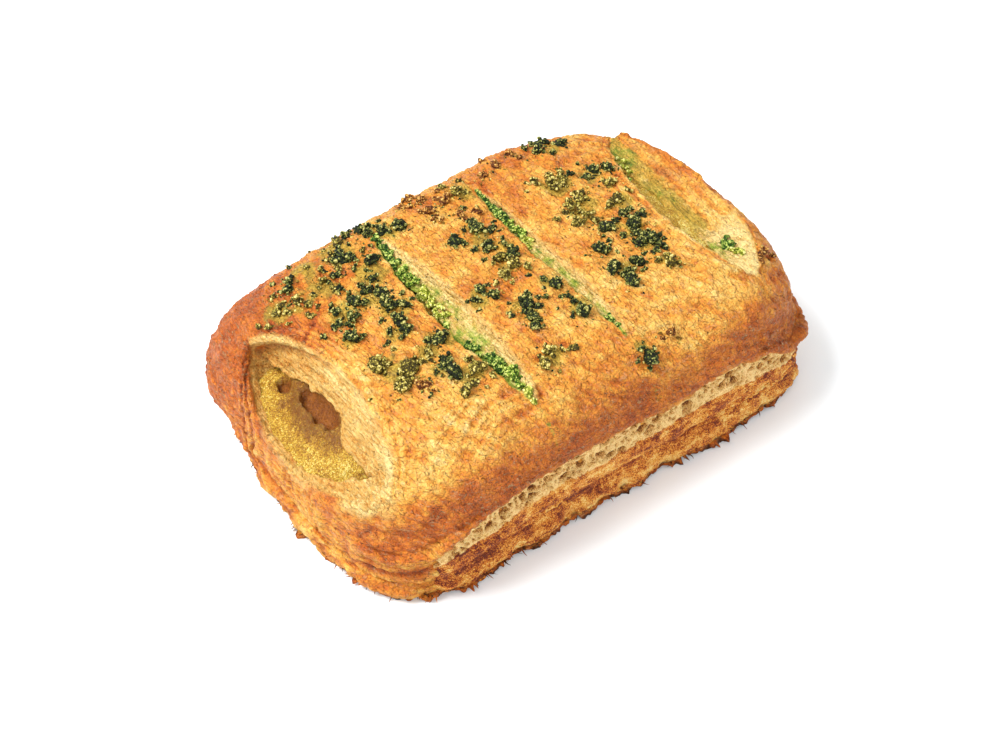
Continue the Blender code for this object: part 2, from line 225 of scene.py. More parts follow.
def front_reach(x):
    """How far the outline reaches to the front at x; it bulges a little to the right."""
    return FRONT + FRONT_SKEW * ease(-30, 45, x)


def lip_height(x, v):
    """The height of the top sheet's edge at x; v is -1 on the front and 1 on the back."""
    return LIP_BACK + (along(LIP_FRONT, x) - LIP_BACK) * ease(0.35, 0.95, -v)


print("the lip is", lip_height(np.array([-40.0, 0.0, 50.0]), -1.0).round(1), "mm high along the front")

# %% [markdown]
# The top is a dome that stays high and then turns down, with puffed strips between the slits.
# Each slit has a frame of its own: how far along it a place lies, and how far across, each 1
# at the edge. Later the same frame says where the dough is pale, so relief and colour agree.

# %% The baked top
def slit_place(slit, x, y):
    """A place in a slit's own frame: along it and across it, each 1 at the edge."""
    (cx, cy, _), length, width, _, lean, turn, _ = slit
    angle = math.radians(turn)
    dx, dy = x - cx, y - cy
    t = (dy * math.cos(angle) - dx * math.sin(angle)) / (length / 2)
    flat = width / 2 * math.cos(math.radians(lean))
    half = flat * np.maximum(1 - LENS_TIP, 1 - t * t) ** LENS_POWER
    return t, (dx * math.cos(angle) + dy * math.sin(angle)) / half


def relief(x, y):
    """Puffed strips between the slits, raised rims round the two end mouths, and lumps."""
    height = sum(high * ripple(x, y, 0.0, size, seed) for size, high, seed in LUMPS)
    for slit in SLITS:
        t, s = slit_place(slit, x, y)
        inside = np.clip(1 - t * t, 0, 1)
        if slit[2] > WIDE_SLIT:
            height = height + inside * RIM_RISE * bell(np.abs(s), RIM_PLACE, RIM_WIDTH)
        else:
            height = height - inside * STRIP_DIP * bell(s * slit[2], 0, STRIP_DIP_REACH)
    return height


def dome(r, share):
    """The dome's height, from 1 in the middle to 0 at its edge, where r is 1."""
    fullness = DOME_FULLNESS[0] + (DOME_FULLNESS[1] - DOME_FULLNESS[0]) * share
    edge = DOME_EDGE[0] + (DOME_EDGE[1] - DOME_EDGE[0]) * share
    return (1 - np.minimum(1.0, r) ** fullness) ** (1 / edge)


def outline_reach(x, y):
    """How far out a place of the top lies, from 0 in the middle to 1 on the outline."""
    rx = np.abs(x) / np.where(x < 0, left_reach(y), right_reach(y))
    ry = np.abs(y) / np.where(y < 0, front_reach(x), BACK)
    front_power, back_left, back_right = DOME_POWERS
    right = ease(-20, 20, x)
    back_power = (1 - right) * back_left + right * back_right
    power = front_power + ease(0, 30, y) * (back_power - front_power)
    return (rx ** power + ry ** power) ** (1 / power)


def crust_height(x, y, lip):
    """The height of the baked top at (x, y), above the lip's height there."""
    back_share = BACK_SHARE * (1 - BACK_FALL * ease(0.2, 0.9, -x / LEFT))
    share = np.maximum(ease(0.3, 0.9, x / RIGHT), back_share * ease(0.2, 0.8, y / BACK))
    rise = dome(outline_reach(x, y), share)
    return lip + (CROWN - lip) * rise + relief(x, y) * np.minimum(1.0, 1.6 * rise)


print("the crown is at", crust_height(np.array([-5.0]), np.array([0.0]), LIP_BACK).round(1), "mm")

# %% [markdown]
# The sides carry the layers: a bottom sheet, a brown fold and, on the cut front, a pale band of
# open crumb under an overhanging lip. A table for each side says how far it steps in or out at
# a share of the lip's height, and the corners are pulled outwards or in, as folding left them.

# %% The parcel's sides
BAND_FROM = (-60.0, -50.0)
BAND_ROUND = (-0.2, -0.55)


def corner_pull(cu, cv, share):
    """The corners' pull along X and Y on places in the direction (cu, cv)."""
    pull_x = np.zeros_like(cu)
    pull_y = np.zeros_like(cu)
    for side_x, side_y, along_x, along_y, low in CORNER_PULLS:
        near = np.minimum(1.0, np.abs(cu * cv) / CORNER_TIP) ** CORNER_SHARPNESS
        near = near * (low + (1 - low) * ease(0.1, 0.6, share))
        here = (cu * side_x > 0) & (cv * side_y > 0)
        pull_x = np.where(here, along_x * near, pull_x)
        pull_y = np.where(here, along_y * near, pull_y)
    return pull_x, pull_y


def side_places(cu, cv, share, front_table=SIDE_FRONT, tuck=0.0):
    """Where the outline stands at a share of the lip's height, and the corners' pull on it."""
    across = np.where(cu < 0, along(SIDE_LEFT, share), along(SIDE_RIGHT, share)) - tuck
    deep = np.where(cv < 0, along(front_table, share), along(SIDE_BACK, share)) - tuck
    pull_x, pull_y = corner_pull(cu, cv, share)
    y = cv * np.where(cv < 0, FRONT, BACK)
    shake = WAVER + RAGGED_EDGE * ease(0.3, 0.08, share)
    shake = shake * ripple(cu * LEFT, y, share * LIP_BACK, RAGGED_SIZE, RAGGED_SEED)
    x = cu * (np.where(cu < 0, left_reach(y), right_reach(y)) + across + shake)
    y = cv * (np.where(cv < 0, front_reach(x), BACK) + deep + shake)
    return x, y, cu * pull_x, cv * pull_y


def band_share(cu, cv):
    """1 where the cut front shows its layers, 0 on the other sides."""
    return ease(*BAND_FROM, cu * LEFT) * ease(*BAND_ROUND, cv)


middle_side = side_places(np.array([-1.0, 1.0]), np.zeros(2), np.full(2, 0.5))[0]
print("half way up, the sides stand at", middle_side.round(1), "mm from left to right")

# %% [markdown]
# Now top and sides meet in one formula that takes a cube's surface to the crust's, and another
# that takes it to the filling's. The cut front is made later as its own fine piece, so the
# crust is tucked in a little behind it, which also makes the overhang a real one.

# %% The crust's and the filling's surface
TUCK = 1.7


def crust_places(cube):
    """Where places of the cube's surface lie on the parcel."""
    u, v, w = spread(cube[:, 0]), spread(cube[:, 1]), cube[:, 2]
    cu, cv = rounded(u, v, OUTLINE_POWER)
    share = (w + 1) / 2
    tuck = TUCK * band_share(cu, cv) * ease(0.93, 0.89, share) * ease(0.0, 0.02, 1.0 - share)
    x, y, pull_x, pull_y = side_places(cu, cv, share, tuck=tuck)
    lip = lip_height(x, cv / np.maximum(np.maximum(np.abs(u), np.abs(v)), 1e-6))
    z = np.where(w > 0.999, crust_height(x, y, lip), share * lip)
    return np.stack([x + pull_x, y + pull_y, z], axis=1)


def filling_places(cube):
    """Where places of the cube's surface lie on the filling."""
    u, v, w = spread(cube[:, 0]), spread(cube[:, 1]), cube[:, 2]
    cu, cv = rounded(u, v, FILLING_POWER)
    share = (w + 1) / 2
    belly = 1 - FILLING_TAPER * (1 - share) ** 2
    x = cu * np.where(cu < 0, FILLING_SIDES[0], FILLING_SIDES[1]) * belly
    y = cv * np.where(cv < 0, FILLING_SIDES[2], FILLING_SIDES[3]) * belly
    rise = dome(np.maximum(np.abs(u), np.abs(v)), ease(0.3, 0.9, x / FILLING_SIDES[1]))
    top = FILLING_LIP + (FILLING_CROWN - FILLING_LIP) * rise
    side = FILLING_FLOOR + (FILLING_LIP - FILLING_FLOOR) * share
    return np.stack([x, y, np.where(w > 0.999, top, side)], axis=1)


corner = crust_places(np.array([[-1.0, 1.0, 1.0], [1.0, -1.0, 1.0]]))
print("the pulled corners reach", corner.round(1).tolist())

# %% [markdown]
# Every shape here starts as a cube cut into a grid, whose corners are then moved by a formula.
# A sleeve is the other way: a row of closed rings joined by faces, for long thin things such
# as layers, torn edges and curls. Two helpers make those meshes, and a third wraps arrays of
# places into an object that stands in the packed part's frame.

# %% Mesh helpers
def new_piece(name, places, faces):
    """An object from places in millimetres and faces, standing where the packed part does."""
    mesh = bpy.data.meshes.new(name)
    mesh.from_pydata((np.asarray(places) * MM + SHIFT).tolist(), [], faces)
    piece = bpy.data.objects.new(name, mesh)
    bpy.context.scene.collection.objects.link(piece)
    return piece


def cut_cube(grid):
    """The corners and faces of a cube from -1 to 1 that is cut into a grid."""
    cube = bmesh.new()
    bmesh.ops.create_cube(cube, size=2.0)
    for axis, count in enumerate(grid):
        edges = [e for e in cube.edges if abs(e.verts[0].co[axis] - e.verts[1].co[axis]) > 0.001]
        bmesh.ops.subdivide_edges(cube, edges=edges, cuts=count - 1, use_grid_fill=True)
    corners = np.array([vert.co for vert in cube.verts])
    faces = [[vert.index for vert in face.verts] for face in cube.faces]
    cube.free()
    return corners, faces


def sleeve(rings):
    """The faces of a row of closed rings, with a face at each end; rings is (rings, places, 3)."""
    count, around = rings.shape[:2]
    index = np.arange(count * around).reshape(count, around)
    index = np.concatenate([index, index[:, :1]], axis=1)
    faces = np.stack([index[:-1, :-1], index[:-1, 1:], index[1:, 1:], index[1:, :-1]], axis=-1)
    ends = [index[0, :-1][::-1].tolist(), index[-1, :-1].tolist()]
    return rings.reshape(-1, 3), faces.reshape(-1, 4).tolist() + ends


print("a cube cut in three has", len(cut_cube((3, 3, 3))[0]), "corners")

# %% [markdown]
# The other helpers work on a piece that is there already. They read its corners as one array
# and write them back, which is far faster than moving them one by one; they keep a modifier's
# result as the mesh, so that the next step can build on it; and they turn faces outwards.
# The last one counts triangles. We try it on the plain loaf, the parcel before any cut.

# %% Reading and changing a mesh
def places_of(piece):
    """A piece's corners in the baker's millimetres, and the way each faces."""
    mesh = piece.data
    spots = np.empty(len(mesh.vertices) * 3, np.float32)
    mesh.vertices.foreach_get("co", spots)
    facing = np.empty_like(spots)
    mesh.vertex_normals.foreach_get("vector", facing)
    return (spots.reshape(-1, 3) - SHIFT) / MM, facing.reshape(-1, 3).astype(float)


def set_places(piece, places):
    """Move a piece's corners to new places in the baker's millimetres."""
    piece.data.vertices.foreach_set("co", (places * MM + SHIFT).astype(np.float32).ravel())
    piece.data.update()


def apply_modifier(piece, kind, **settings):
    """Add one modifier, keep its result as the mesh, and remove it."""
    change = piece.modifiers.new(kind.lower(), kind)
    for key, value in settings.items():
        setattr(change, key, value)
    view = bpy.context.evaluated_depsgraph_get()
    mesh = bpy.data.meshes.new_from_object(piece.evaluated_get(view))
    old = piece.data
    piece.modifiers.clear()
    piece.data = mesh
    bpy.data.meshes.remove(old)


def face_out(piece):
    """Turn every face of a closed piece outwards and shade it smooth."""
    shape = bmesh.new()
    shape.from_mesh(piece.data)
    bmesh.ops.recalc_face_normals(shape, faces=shape.faces)
    shape.to_mesh(piece.data)
    shape.free()
    piece.data.shade_smooth()


def count_of(piece):
    """A piece's name and how many triangles it has, for the prints."""
    piece.data.calc_loop_triangles()
    return f"{piece.name}: {len(piece.data.loop_triangles)} triangles"


cube_corners, cube_faces = cut_cube((120, 84, 28))
crust = new_piece("pastry_crust", crust_places(cube_corners), cube_faces)
print(count_of(crust))

# %% [markdown]
# The baker opens the loaf with a knife; we take away solids. It loses the room for the filling
# and four lens-shaped cuts. Boolean tools do this well while the meshes are clean and light.

# %% The slit parcel
FILLING_GAP = 0.35


def take_away(piece, places, faces):
    """Cut a closed shape out of a piece."""
    cutter = new_piece("cutter", places, faces)
    apply_modifier(piece, "BOOLEAN", operation="DIFFERENCE", solver="MANIFOLD", object=cutter)
    bpy.data.objects.remove(cutter, do_unlink=True)


def slit_frame(slit, local):
    """Turn places in a slit's leaning frame into the baker's millimetres."""
    middle, _, _, _, lean, turn, _ = slit
    turned = Matrix.Rotation(math.radians(turn), 3, "Z") @ Matrix.Rotation(math.radians(-lean), 3, "Y")
    return local @ np.array(turned).T + middle


def lens_places(slit, cube):
    """A slit's lens-shaped cut."""
    _, length, width, depth, _, _, aside = slit
    u, v, w = cube.T
    t = LENS_TIP * np.sin(v * np.pi / 2)
    sunk = np.maximum(0.0, -w)
    half = width / 2 * (1 - t * t) ** LENS_POWER * np.sqrt(1 - FLOOR_NARROWING * sunk * sunk)
    z = np.where(w < 0, -depth * np.sqrt(1 - t * t) * sunk, SLIT_RISE * w)
    return slit_frame(slit, np.stack([u * half - aside * sunk * (1 - t * t), t * length / 2, z], axis=1))


pillow_corners, pillow_faces = cut_cube((60, 40, 10))
pillow = filling_places(pillow_corners)
pillow_middle = (pillow.min(axis=0) + pillow.max(axis=0)) / 2
pillow_size = np.ptp(pillow, axis=0)
room = (pillow - pillow_middle) * (1 + 2 * FILLING_GAP / pillow_size) + pillow_middle
take_away(crust, room, pillow_faces)
lens_corners, lens_faces = cut_cube((10, 48, 10))
for slit in SLITS:
    take_away(crust, lens_places(slit, lens_corners), lens_faces)
print(count_of(crust))

# %% [markdown]
# Where the knife opened the dough, a thin tongue of it still slopes down over the filling and
# ends in a torn edge. A tongue is a sleeve across each slit, thick at the rim and thin at the
# torn edge. It may cross the crust freely, since the next step melts all of it together.

# %% Torn tongues of dough
TONGUES = (
    # slit, side, how far across the torn edge reaches along the slit, depth there, at the rim,
    # raggedness
    (0, 1, ((-1, 0.2), (-0.62, -0.05), (-0.28, -0.08), (-0.05, 0.33), (0.15, 0.35), (0.4, 0.26),
            (0.72, 0.08), (1, 0.3)), 2.8, 0.4, 0.5),
    (0, -1, ((-1, 0.4), (-0.78, 0.12), (-0.62, -0.3), (-0.45, -0.7), (-0.2, -0.9), (0.3, -0.95),
             (1, -0.8)), 1.5, 0.3, 0.35),
    (1, 1, ((-1, -0.95), (-0.5, -0.8), (-0.1, -0.85), (0.15, -0.35), (0.45, -0.3), (0.7, -0.8),
            (1, -0.95)), 2.7, 0.4, 0.3),
    (2, 1, ((-1, -0.9), (-0.4, -0.85), (0.2, -0.8), (0.6, -0.7), (1, -0.9)), 2.3, 0.4, 0.2),
    (3, 1, ((-1, -0.9), (-0.74, -0.7), (-0.58, -0.15), (-0.1, -0.05), (0.25, -0.1), (0.5, -0.4),
            (0.75, -0.85), (1, -0.9)), 3.8, 0.05, 0.4),
)
TONGUE_STEPS = (150, 26)
TONGUE_THICKNESS = (1.6, 0.9)
TONGUE_END, TONGUE_ROOT = 0.965, 0.8


def tongue_rings(index, side, torn, drop, start, ragged):
    """The rings of one tongue, from one end of its slit to the other."""
    slit = SLITS[index]
    along_steps, across_steps = TONGUE_STEPS
    t = np.linspace(-TONGUE_END, TONGUE_END, along_steps)[:, None]
    q = np.linspace(0, 1, across_steps)[None, :]
    half = slit[2] / 2 * (1 - t * t) ** LENS_POWER
    spots = np.stack([t[:, 0] * slit[1] / 2, np.zeros(along_steps), np.full(along_steps, index)], axis=1)
    tear = ragged * (lumps(spots, 2.3, 40) + 0.6 * lumps(spots, 0.9, 41))
    inner = half * along(torn, t) + tear[:, None]
    outer = side * (half + TONGUE_ROOT)
    x = outer + (inner - outer) * q
    deep = drop * (1 - t * t) ** 0.4
    z = -start - deep * np.sin(q * np.pi / 2) ** 1.3
    thick = TONGUE_THICKNESS[0] + (TONGUE_THICKNESS[1] - TONGUE_THICKNESS[0]) * q
    y = np.broadcast_to(t * slit[1] / 2, x.shape)
    top = np.stack([x, y, z], axis=-1)
    bottom = np.stack([x, y, z - thick], axis=-1)[:, ::-1]
    rings = np.concatenate([top, bottom], axis=1)
    return slit_frame(slit, rings.reshape(-1, 3)).reshape(rings.shape)


tongues = []
for tongue in TONGUES:
    places, faces = sleeve(tongue_rings(*tongue))
    tongues.append(new_piece("tongue", places, faces))
    face_out(tongues[-1])
print(len(tongues), "tongues of dough")

# %% [markdown]
# Now the crust and its tongues are joined and remeshed with voxels. That melts them into one
# skin of even, small faces, which can carry fine relief, and it rounds every cut a little, as
# baking does.

# %% One fine skin
VOXEL = 0.42
SOFTENING = {"factor": 0.5, "iterations": 2}

merged = bmesh.new()
for piece in (crust, *tongues):
    merged.from_mesh(piece.data)
merged.to_mesh(crust.data)
merged.free()
for piece in tongues:
    bpy.data.objects.remove(piece, do_unlink=True)
apply_modifier(crust, "REMESH", mode="VOXEL", voxel_size=VOXEL * MM)
apply_modifier(crust, "SMOOTH", **SOFTENING)
print(count_of(crust))

# %% [markdown]
# The skin's relief is drawn place by place. Blisters and a leathery wrinkle cover all of it.
# Where the dough was pulled, long stretch lines run: rings round the two open mouths, and a fan
# from the left mouth's front end along the front. A crease or two and the rolled bead along the
# lip finish it. Each is a field in millimetres, and the sum moves the skin along its normal.

# %% Fields on the skin
PILLOW_REACH, PILLOW_MIDDLE_Y = (63.5, 36.5), 3.75
PILLOW_ABOVE, PILLOW_BELOW, UNDERSIDE = 1.0, 1.5, 0.4

crust_spots, crust_facing = places_of(crust)
px, py, pz = crust_spots.T
reach_out = outline_reach(px, py)
slit_along, slit_across, slit_off = [], [], []
for slit in SLITS:
    t, s = slit_place(slit, px, py)
    half = slit[2] / 2 * np.maximum(1 - LENS_TIP, 1 - t * t) ** LENS_POWER
    slit_along.append(t)
    slit_across.append(s)
    slit_off.append((np.abs(s) - 1) * half)
lip_here = lip_height(px, np.clip(py / 40, -1, 1))
on_top = ease(-0.5, 2.0, pz - lip_here)
pillow_x, pillow_y = np.abs(px) / PILLOW_REACH[0], np.abs(py - PILLOW_MIDDLE_Y) / PILLOW_REACH[1]
pillow_reach = (pillow_x ** 4 + pillow_y ** 4) ** 0.25
pillow_top = FILLING_LIP + (FILLING_CROWN - FILLING_LIP) * dome(
    pillow_reach, ease(0.3, 0.9, px / FILLING_SIDES[1]))
hidden = (pz < pillow_top + PILLOW_ABOVE) & (pz > FILLING_FLOOR - PILLOW_BELOW)
hidden = (hidden & (pillow_reach < 1.0)) | (pz < UNDERSIDE)
print("hidden inside or below:", int(hidden.sum()), "of", len(hidden), "corners")

# %% [markdown]
# Stretch lines are long lumps: noise whose lumps are many times longer one way than the other.
# Round a mouth the lines must bend with it, so there the noise runs over the distance from the
# rim and the place along the slit, instead of over X and Y. A bump in the material could show
# thin lines, but not the way these catch the light from the side, so they are real relief.

# %% Stretch lines and wrinkles
MOUTH_RINGS = (
    # slit, how far the lines reach from its rim, how strong they are
    (0, 11.0, 1.0), (3, 7.0, 0.9), (1, 2.2, 0.6), (2, 2.0, 0.5),
)


def lines(across, length, width, long, seed):
    """Raised lines, width apart and long, from two lengths measured in millimetres."""
    spots = np.stack([across / width, length / long, np.full_like(across, seed)], axis=1)
    first = lumps(spots, 1.0, seed)
    return (1 - 2.2 * np.abs(first)) * 0.7 + 0.3 * lumps(spots * (2.3, 1.7, 1), 1.0, seed + 1)


def mouth_lines(index, reach):
    """Lines that bend round a mouth, fading out over a reach in millimetres."""
    t, off = slit_along[index], slit_off[index]
    warp = 0.5 * lumps(crust_spots, 4.0, 50 + index)
    near = ease(reach, 0.3 * reach, off) * ease(1.25, 1.0, np.abs(t))
    return near * lines(off + warp, t * SLITS[index][1] / 2, 1.0, 13.0, 52 + index)


bend = 1.6 * lumps(crust_spots, 9.0, 60)
fan = bell(px, -30, 22) * bell(py + 0.10 * px, -31, 8.0) * on_top
fan_lines = fan * lines(py - 0.22 * px + bend, px, 1.9, 17.0, 61)
leather = lines(px + 0.6 * py + bend, py - 0.4 * px, 1.3, 5.5, 63) + lines(
    pz + 0.5 * px, py + bend, 1.4, 4.5, 65)
soft = lumps(crust_spots, 5.2, 70) + 0.6 * lumps(crust_spots, 2.6, 71)
grain = lumps(crust_spots, 1.15, 73)
near_middle, _, cell_number = cells(crust_spots, 2.1, 72)
blisters = np.clip(0.62 - near_middle, 0, 1) * ease(-0.2, 0.6, cell_number)
rings = sum(strength * mouth_lines(index, reach) for index, reach, strength in MOUTH_RINGS)
print("wrinkles drawn; the fan reaches", fan_lines.max().round(2))

# %% [markdown]
# Some places have a relief of their own. The slits' walls show the sheets that the knife cut,
# a rolled rope of dough lies round the left mouth, and the top sheet's lip ends in a bead.
# Where the parcel was folded and sagged, four creases run, each a narrow bell across its line.

# %% Walls, bead and creases
LIP_BEAD_X = (12.0, 40.0)

walls = np.zeros(len(px))
for t, off in zip(slit_along, slit_off):
    walls = np.maximum(walls, ease(0.15, -0.35, off) * ease(1.0, 0.97, np.abs(t)) * on_top)
from_lip = pz - lip_here
front_side = ease(-20, -30, py)
bead = front_side * (bell(from_lip, 1.0, 1.3) - 0.7 * bell(from_lip, 4.6, 1.5)) * (
    0.45 + 0.55 * ease(*LIP_BEAD_X, px))
side_layers = (1 - on_top) * lines(pz + 0.5 * lumps(crust_spots, 6.0, 80), px + py, 1.2, 16.0, 81)
round_left = ease(-0.8, -0.3, slit_along[0]) * ease(1.25, 0.9, slit_along[0])
left_crease = bell(slit_across[0], -1.27, 0.045) * round_left
outer_crease = bell(slit_across[0], -1.6, 0.05) * ease(-0.2, 0.2, slit_along[0]) * round_left
back_crease = bell(py, 19.5 + 0.55 * (px + 45), 0.8) * bell(px, -45, 6.0) * on_top
front_crease = bell(pz, 7.5 + 0.22 * (px + 66), 0.8) * ease(-42, -50, px) * ease(-12, -22, py)
rope = bell(slit_off[0], 1.3, 1.1) * ease(1.2, 1.0, np.abs(slit_along[0]))
rope = rope * ease(-0.9, -0.4, -slit_across[0])
wall_lines = walls * lines(pz + 0.3 * px + 0.4 * lumps(crust_spots, 3.0, 82), py, 1.15, 11.0, 83)
print("walls cover", int((walls > 0.5).sum()), "corners; the bead stands", bead.max().round(2))

# %% [markdown]
# Now every field gets its height in millimetres, and their sum moves the skin along its own
# normal. Walls are smoother than the crust, so blisters and leather fade there. Corners inside
# the dough stay where they are, and nothing may sink through the table.

# %% The relief
LOWEST = 0.03

bare = 1 - 0.6 * walls
RELIEF = (
    # height in millimetres, field
    (0.34, soft), (0.32, leather * bare), (0.55, blisters * bare), (0.18, grain * bare),
    (0.34, rings), (0.50, fan_lines), (0.28, side_layers), (0.85, bead), (0.22, wall_lines),
    (0.50, rope), (-0.8, left_crease), (-0.4, outer_crease), (-0.5, back_crease),
    (-0.8, front_crease),
)
move = sum(height * field for height, field in RELIEF)
move[hidden] = 0
moved = crust_spots + crust_facing * move[:, None]
moved[:, 2] = np.maximum(moved[:, 2], LOWEST)
set_places(crust, moved)
print("the relief moves the skin from", move.min().round(2), "to", move.max().round(2), "mm")

# %% [markdown]
# Colour follows the baking. The crust browned most where it stood out or lay thin: on the lip,
# the corners and the wrinkles' crests. It stayed pale where the knife opened it. We don't paint
# colours yet, only amounts, kept on the mesh as colour attributes: how brown, with painted shade
# in the creases, how pale, how stained by the herbs; and how burnt, how much painted shade lies
# deep in a slit, and how green. Painting them by hand would do as well, but fields that share
# the relief's own lines stay in step with it.

# %% Where the oven browned it
TANNED = (
    # x, y, radius, more or less browning
    (-53, 38, 14, 0.44), (-46, 25, 8, 0.30), (-41, 15, 8, 0.08), (-37, -15, 8, -0.10),
    (-47, -36, 8, -0.06), (-34, -40, 9, 0.10), (-14, -33, 9, 0.05), (2, -36, 12, 0.06),
    (30, -27, 13, -0.08), (18, -16, 10, -0.05), (53, -22, 12, -0.05), (0, 36, 16, 0.06),
    (-40, -27, 9, -0.08), (26, 12, 9, -0.03), (-30, 30, 9, 0.08), (33, 36, 12, 0.12),
    (62, 14, 9, 0.16), (6, -30, 9, 0.05),
)
MOST_BROWN = 0.76


def keep_amounts(piece, name, *amounts):
    """Keep up to three amounts from 0 to 1 for each corner, as one colour attribute."""
    colours = np.zeros((len(piece.data.vertices), 4), np.float32)
    colours[:, :len(amounts)] = np.clip(np.stack(amounts, axis=1), 0, 1)
    colours[:, 3] = 1
    made = piece.data.color_attributes.new(name, "FLOAT_COLOR", "POINT")
    made.data.foreach_set("color", colours.ravel())


brown = 0.445 + 0.07 * lumps(crust_spots, 14.0, 90) + 0.08 * lumps(crust_spots, 5.0, 91)
brown += 0.26 * ease(0.88, 1.0, reach_out) * on_top + 0.15 * (1 - on_top)
brown += front_side * (0.20 * bell(from_lip, 0.4, 1.0) + 0.05 * bell(from_lip, 1.0, 5.0))
for x, y, radius, more in TANNED:
    brown += more * np.exp(-((px - x) ** 2 + (py - y) ** 2) / radius ** 2)
# Paler on the raised leathery lines and grain: painted highlight that shows their relief.
brown += 0.20 * np.clip(blisters, 0, 0.4) - 0.12 * leather - 0.06 * grain
brown -= 0.24 * fan_lines + 0.24 * rings + 0.16 * side_layers * (1 - on_top)
# The four creases are darkened: painted shade in their dents.
brown = np.minimum(brown, MOST_BROWN) + 0.25 * left_crease + 0.2 * outer_crease + 0.32 * back_crease
brown += 0.3 * front_crease
print("browning from", brown.min().round(2), "to", brown.max().round(2))

# %% [markdown]
# The dough that the knife opened puffed up last and stayed pale: a narrow border round each
# slit, wider on one side than on the other, and the cream tongue at the right mouth's front
# end. The slit's own frame tells how far a place is from the rim, so the border follows it.

# %% Where the dough stayed pale
PALE_REACH = (
    # reach from the rim on the left side and on the right, strength
    (1.6, 1.6, 0.85), (0.4, 2.0, 1.0), (0.4, 1.6, 1.0), (1.2, 0.6, 0.3),
)

pale = np.zeros(len(px))
for (near_side, far_side, strength), t, s, off in zip(PALE_REACH, slit_along, slit_across, slit_off):
    reach = np.where(s > 0, far_side, near_side)
    border = ease(0, 1, (reach - off) / (reach + 1.0)) * ease(1.12, 0.9, np.abs(t))
    pale = np.maximum(pale, strength * border * on_top)
front_end = ease(-0.18, -0.5, slit_along[3]) * ease(1.0, -0.8, slit_off[3]) * on_top
front_end *= ease(-1.08, -0.94, slit_along[3])
brown -= 0.4 * front_end
pale = np.maximum(pale, front_end)
pale = np.maximum(pale, 0.9 * bell(slit_along[0], -0.85, 0.22) * ease(3.5, 0.5, slit_off[0]) * on_top)
pale = np.where(hidden, 1.0, pale - 0.25 * wall_lines * (pale > 0.2))
print("pale corners:", int((pale > 0.5).sum()))

# %% [markdown]
# Herb and nut crumbs lie in patches, and each patch stains the dough round it. One table says
# where the patches lie; the solid model strews its crumbs from the same one, and so do we
# further on, which keeps every stain under its own crumbs.

# %% Where the crumbs stain it
CRUMB_PATCHES = (
    # middle x, y, spread, how many, radius, kind
    (-36, 36, 3, 3, 1.5, "dark"), (-27, 36, 4, 5, 1.3, "olive"), (-15, 38, 3, 4, 1.6, "dark"),
    (-13, 33, 2, 2, 1.5, "dark"), (-48, 30, 3, 4, 1.2, "olive"), (-42, 28, 3, 3, 1.2, "olive"),
    (-36, 28, 3, 3, 1.1, "olive"), (-25, 24, 4, 7, 1.7, "dark"), (-29, 18, 3, 5, 1.5, "dark"),
    (-37, 18, 3, 4, 1.2, "dark"), (-26, 11, 3, 3, 2.0, "dark"), (-40, 10, 1, 2, 1.6, "dark"),
    (-30, 5, 3, 4, 2.1, "dark"), (-24, -3, 3, 4, 1.8, "dark"), (-29, -5, 2, 2, 1.6, "olive"),
    (-37, -4, 3, 6, 2.1, "olive"), (-30, -12, 2, 3, 2.0, "dark"), (-25, -17, 2, 4, 1.9, "olive"),
    (-36, -13, 2, 2, 1.2, "brown"), (2, 36, 4, 5, 1.3, "brown"), (2, 27, 3, 4, 1.0, "brown"),
    (10, 33, 3, 3, 1.2, "olive"), (21, 36, 4, 3, 1.2, "brown"), (3, 17, 4, 8, 1.9, "dark"),
    (6, 10, 2, 4, 1.6, "dark"), (2, 5, 2, 4, 1.5, "olive"), (-9, 1, 2, 3, 1.8, "dark"),
    (-3, -9, 3, 7, 1.7, "dark"), (-5, -24, 2, 3, 1.6, "olive"), (38, 34, 3, 6, 1.5, "dark"),
    (39, 18, 2, 3, 1.6, "dark"), (30, 20, 3, 7, 1.6, "olive"), (30, 10, 3, 6, 1.5, "olive"),
    (39, 5, 2, 3, 1.5, "olive"), (35, -2, 3, 8, 1.7, "dark"), (25, -4, 1, 2, 2.0, "dark"),
    (36, -9, 2, 5, 1.7, "dark"), (25, -13, 2, 6, 1.9, "dark"), (35, -17, 1, 2, 1.6, "olive"),
    (8, -5, 2, 4, 1.6, "dark"), (9, -16, 2, 4, 1.8, "dark"), (15, -32, 1, 2, 2.0, "dark"),
    (23, -33, 1, 2, 1.6, "brown"), (58, -25, 1, 2, 1.3, "brown"),
)
STAIN_STRENGTH = {"dark": 0.9, "olive": 1.0, "brown": 0.35}
STAIN_BORDER = 1.6

stain = np.zeros(len(px))
for x, y, wide, _, _, kind in CRUMB_PATCHES:
    far = ((px - x) ** 2 + (py - y) ** 2) / (wide + STAIN_BORDER) ** 2
    stain = np.maximum(stain, STAIN_STRENGTH[kind] * np.exp(-far))
stain = ease(0.12, 0.95, stain * (1 + 0.7 * lumps(crust_spots, 2.2, 92))) * on_top * (1 - 0.6 * walls)
olive_floor = ease(0.3, -1.2, slit_off[3]) * ease(0.55, 0.0, slit_across[3]) * (1 - front_end)
stain = np.maximum(stain, olive_floor * (0.9 + 0.3 * lumps(crust_spots, 3.0, 97)) * on_top)
keep_amounts(crust, "baking", brown, pale, stain)
print("stained corners:", int((stain > 0.5).sum()))
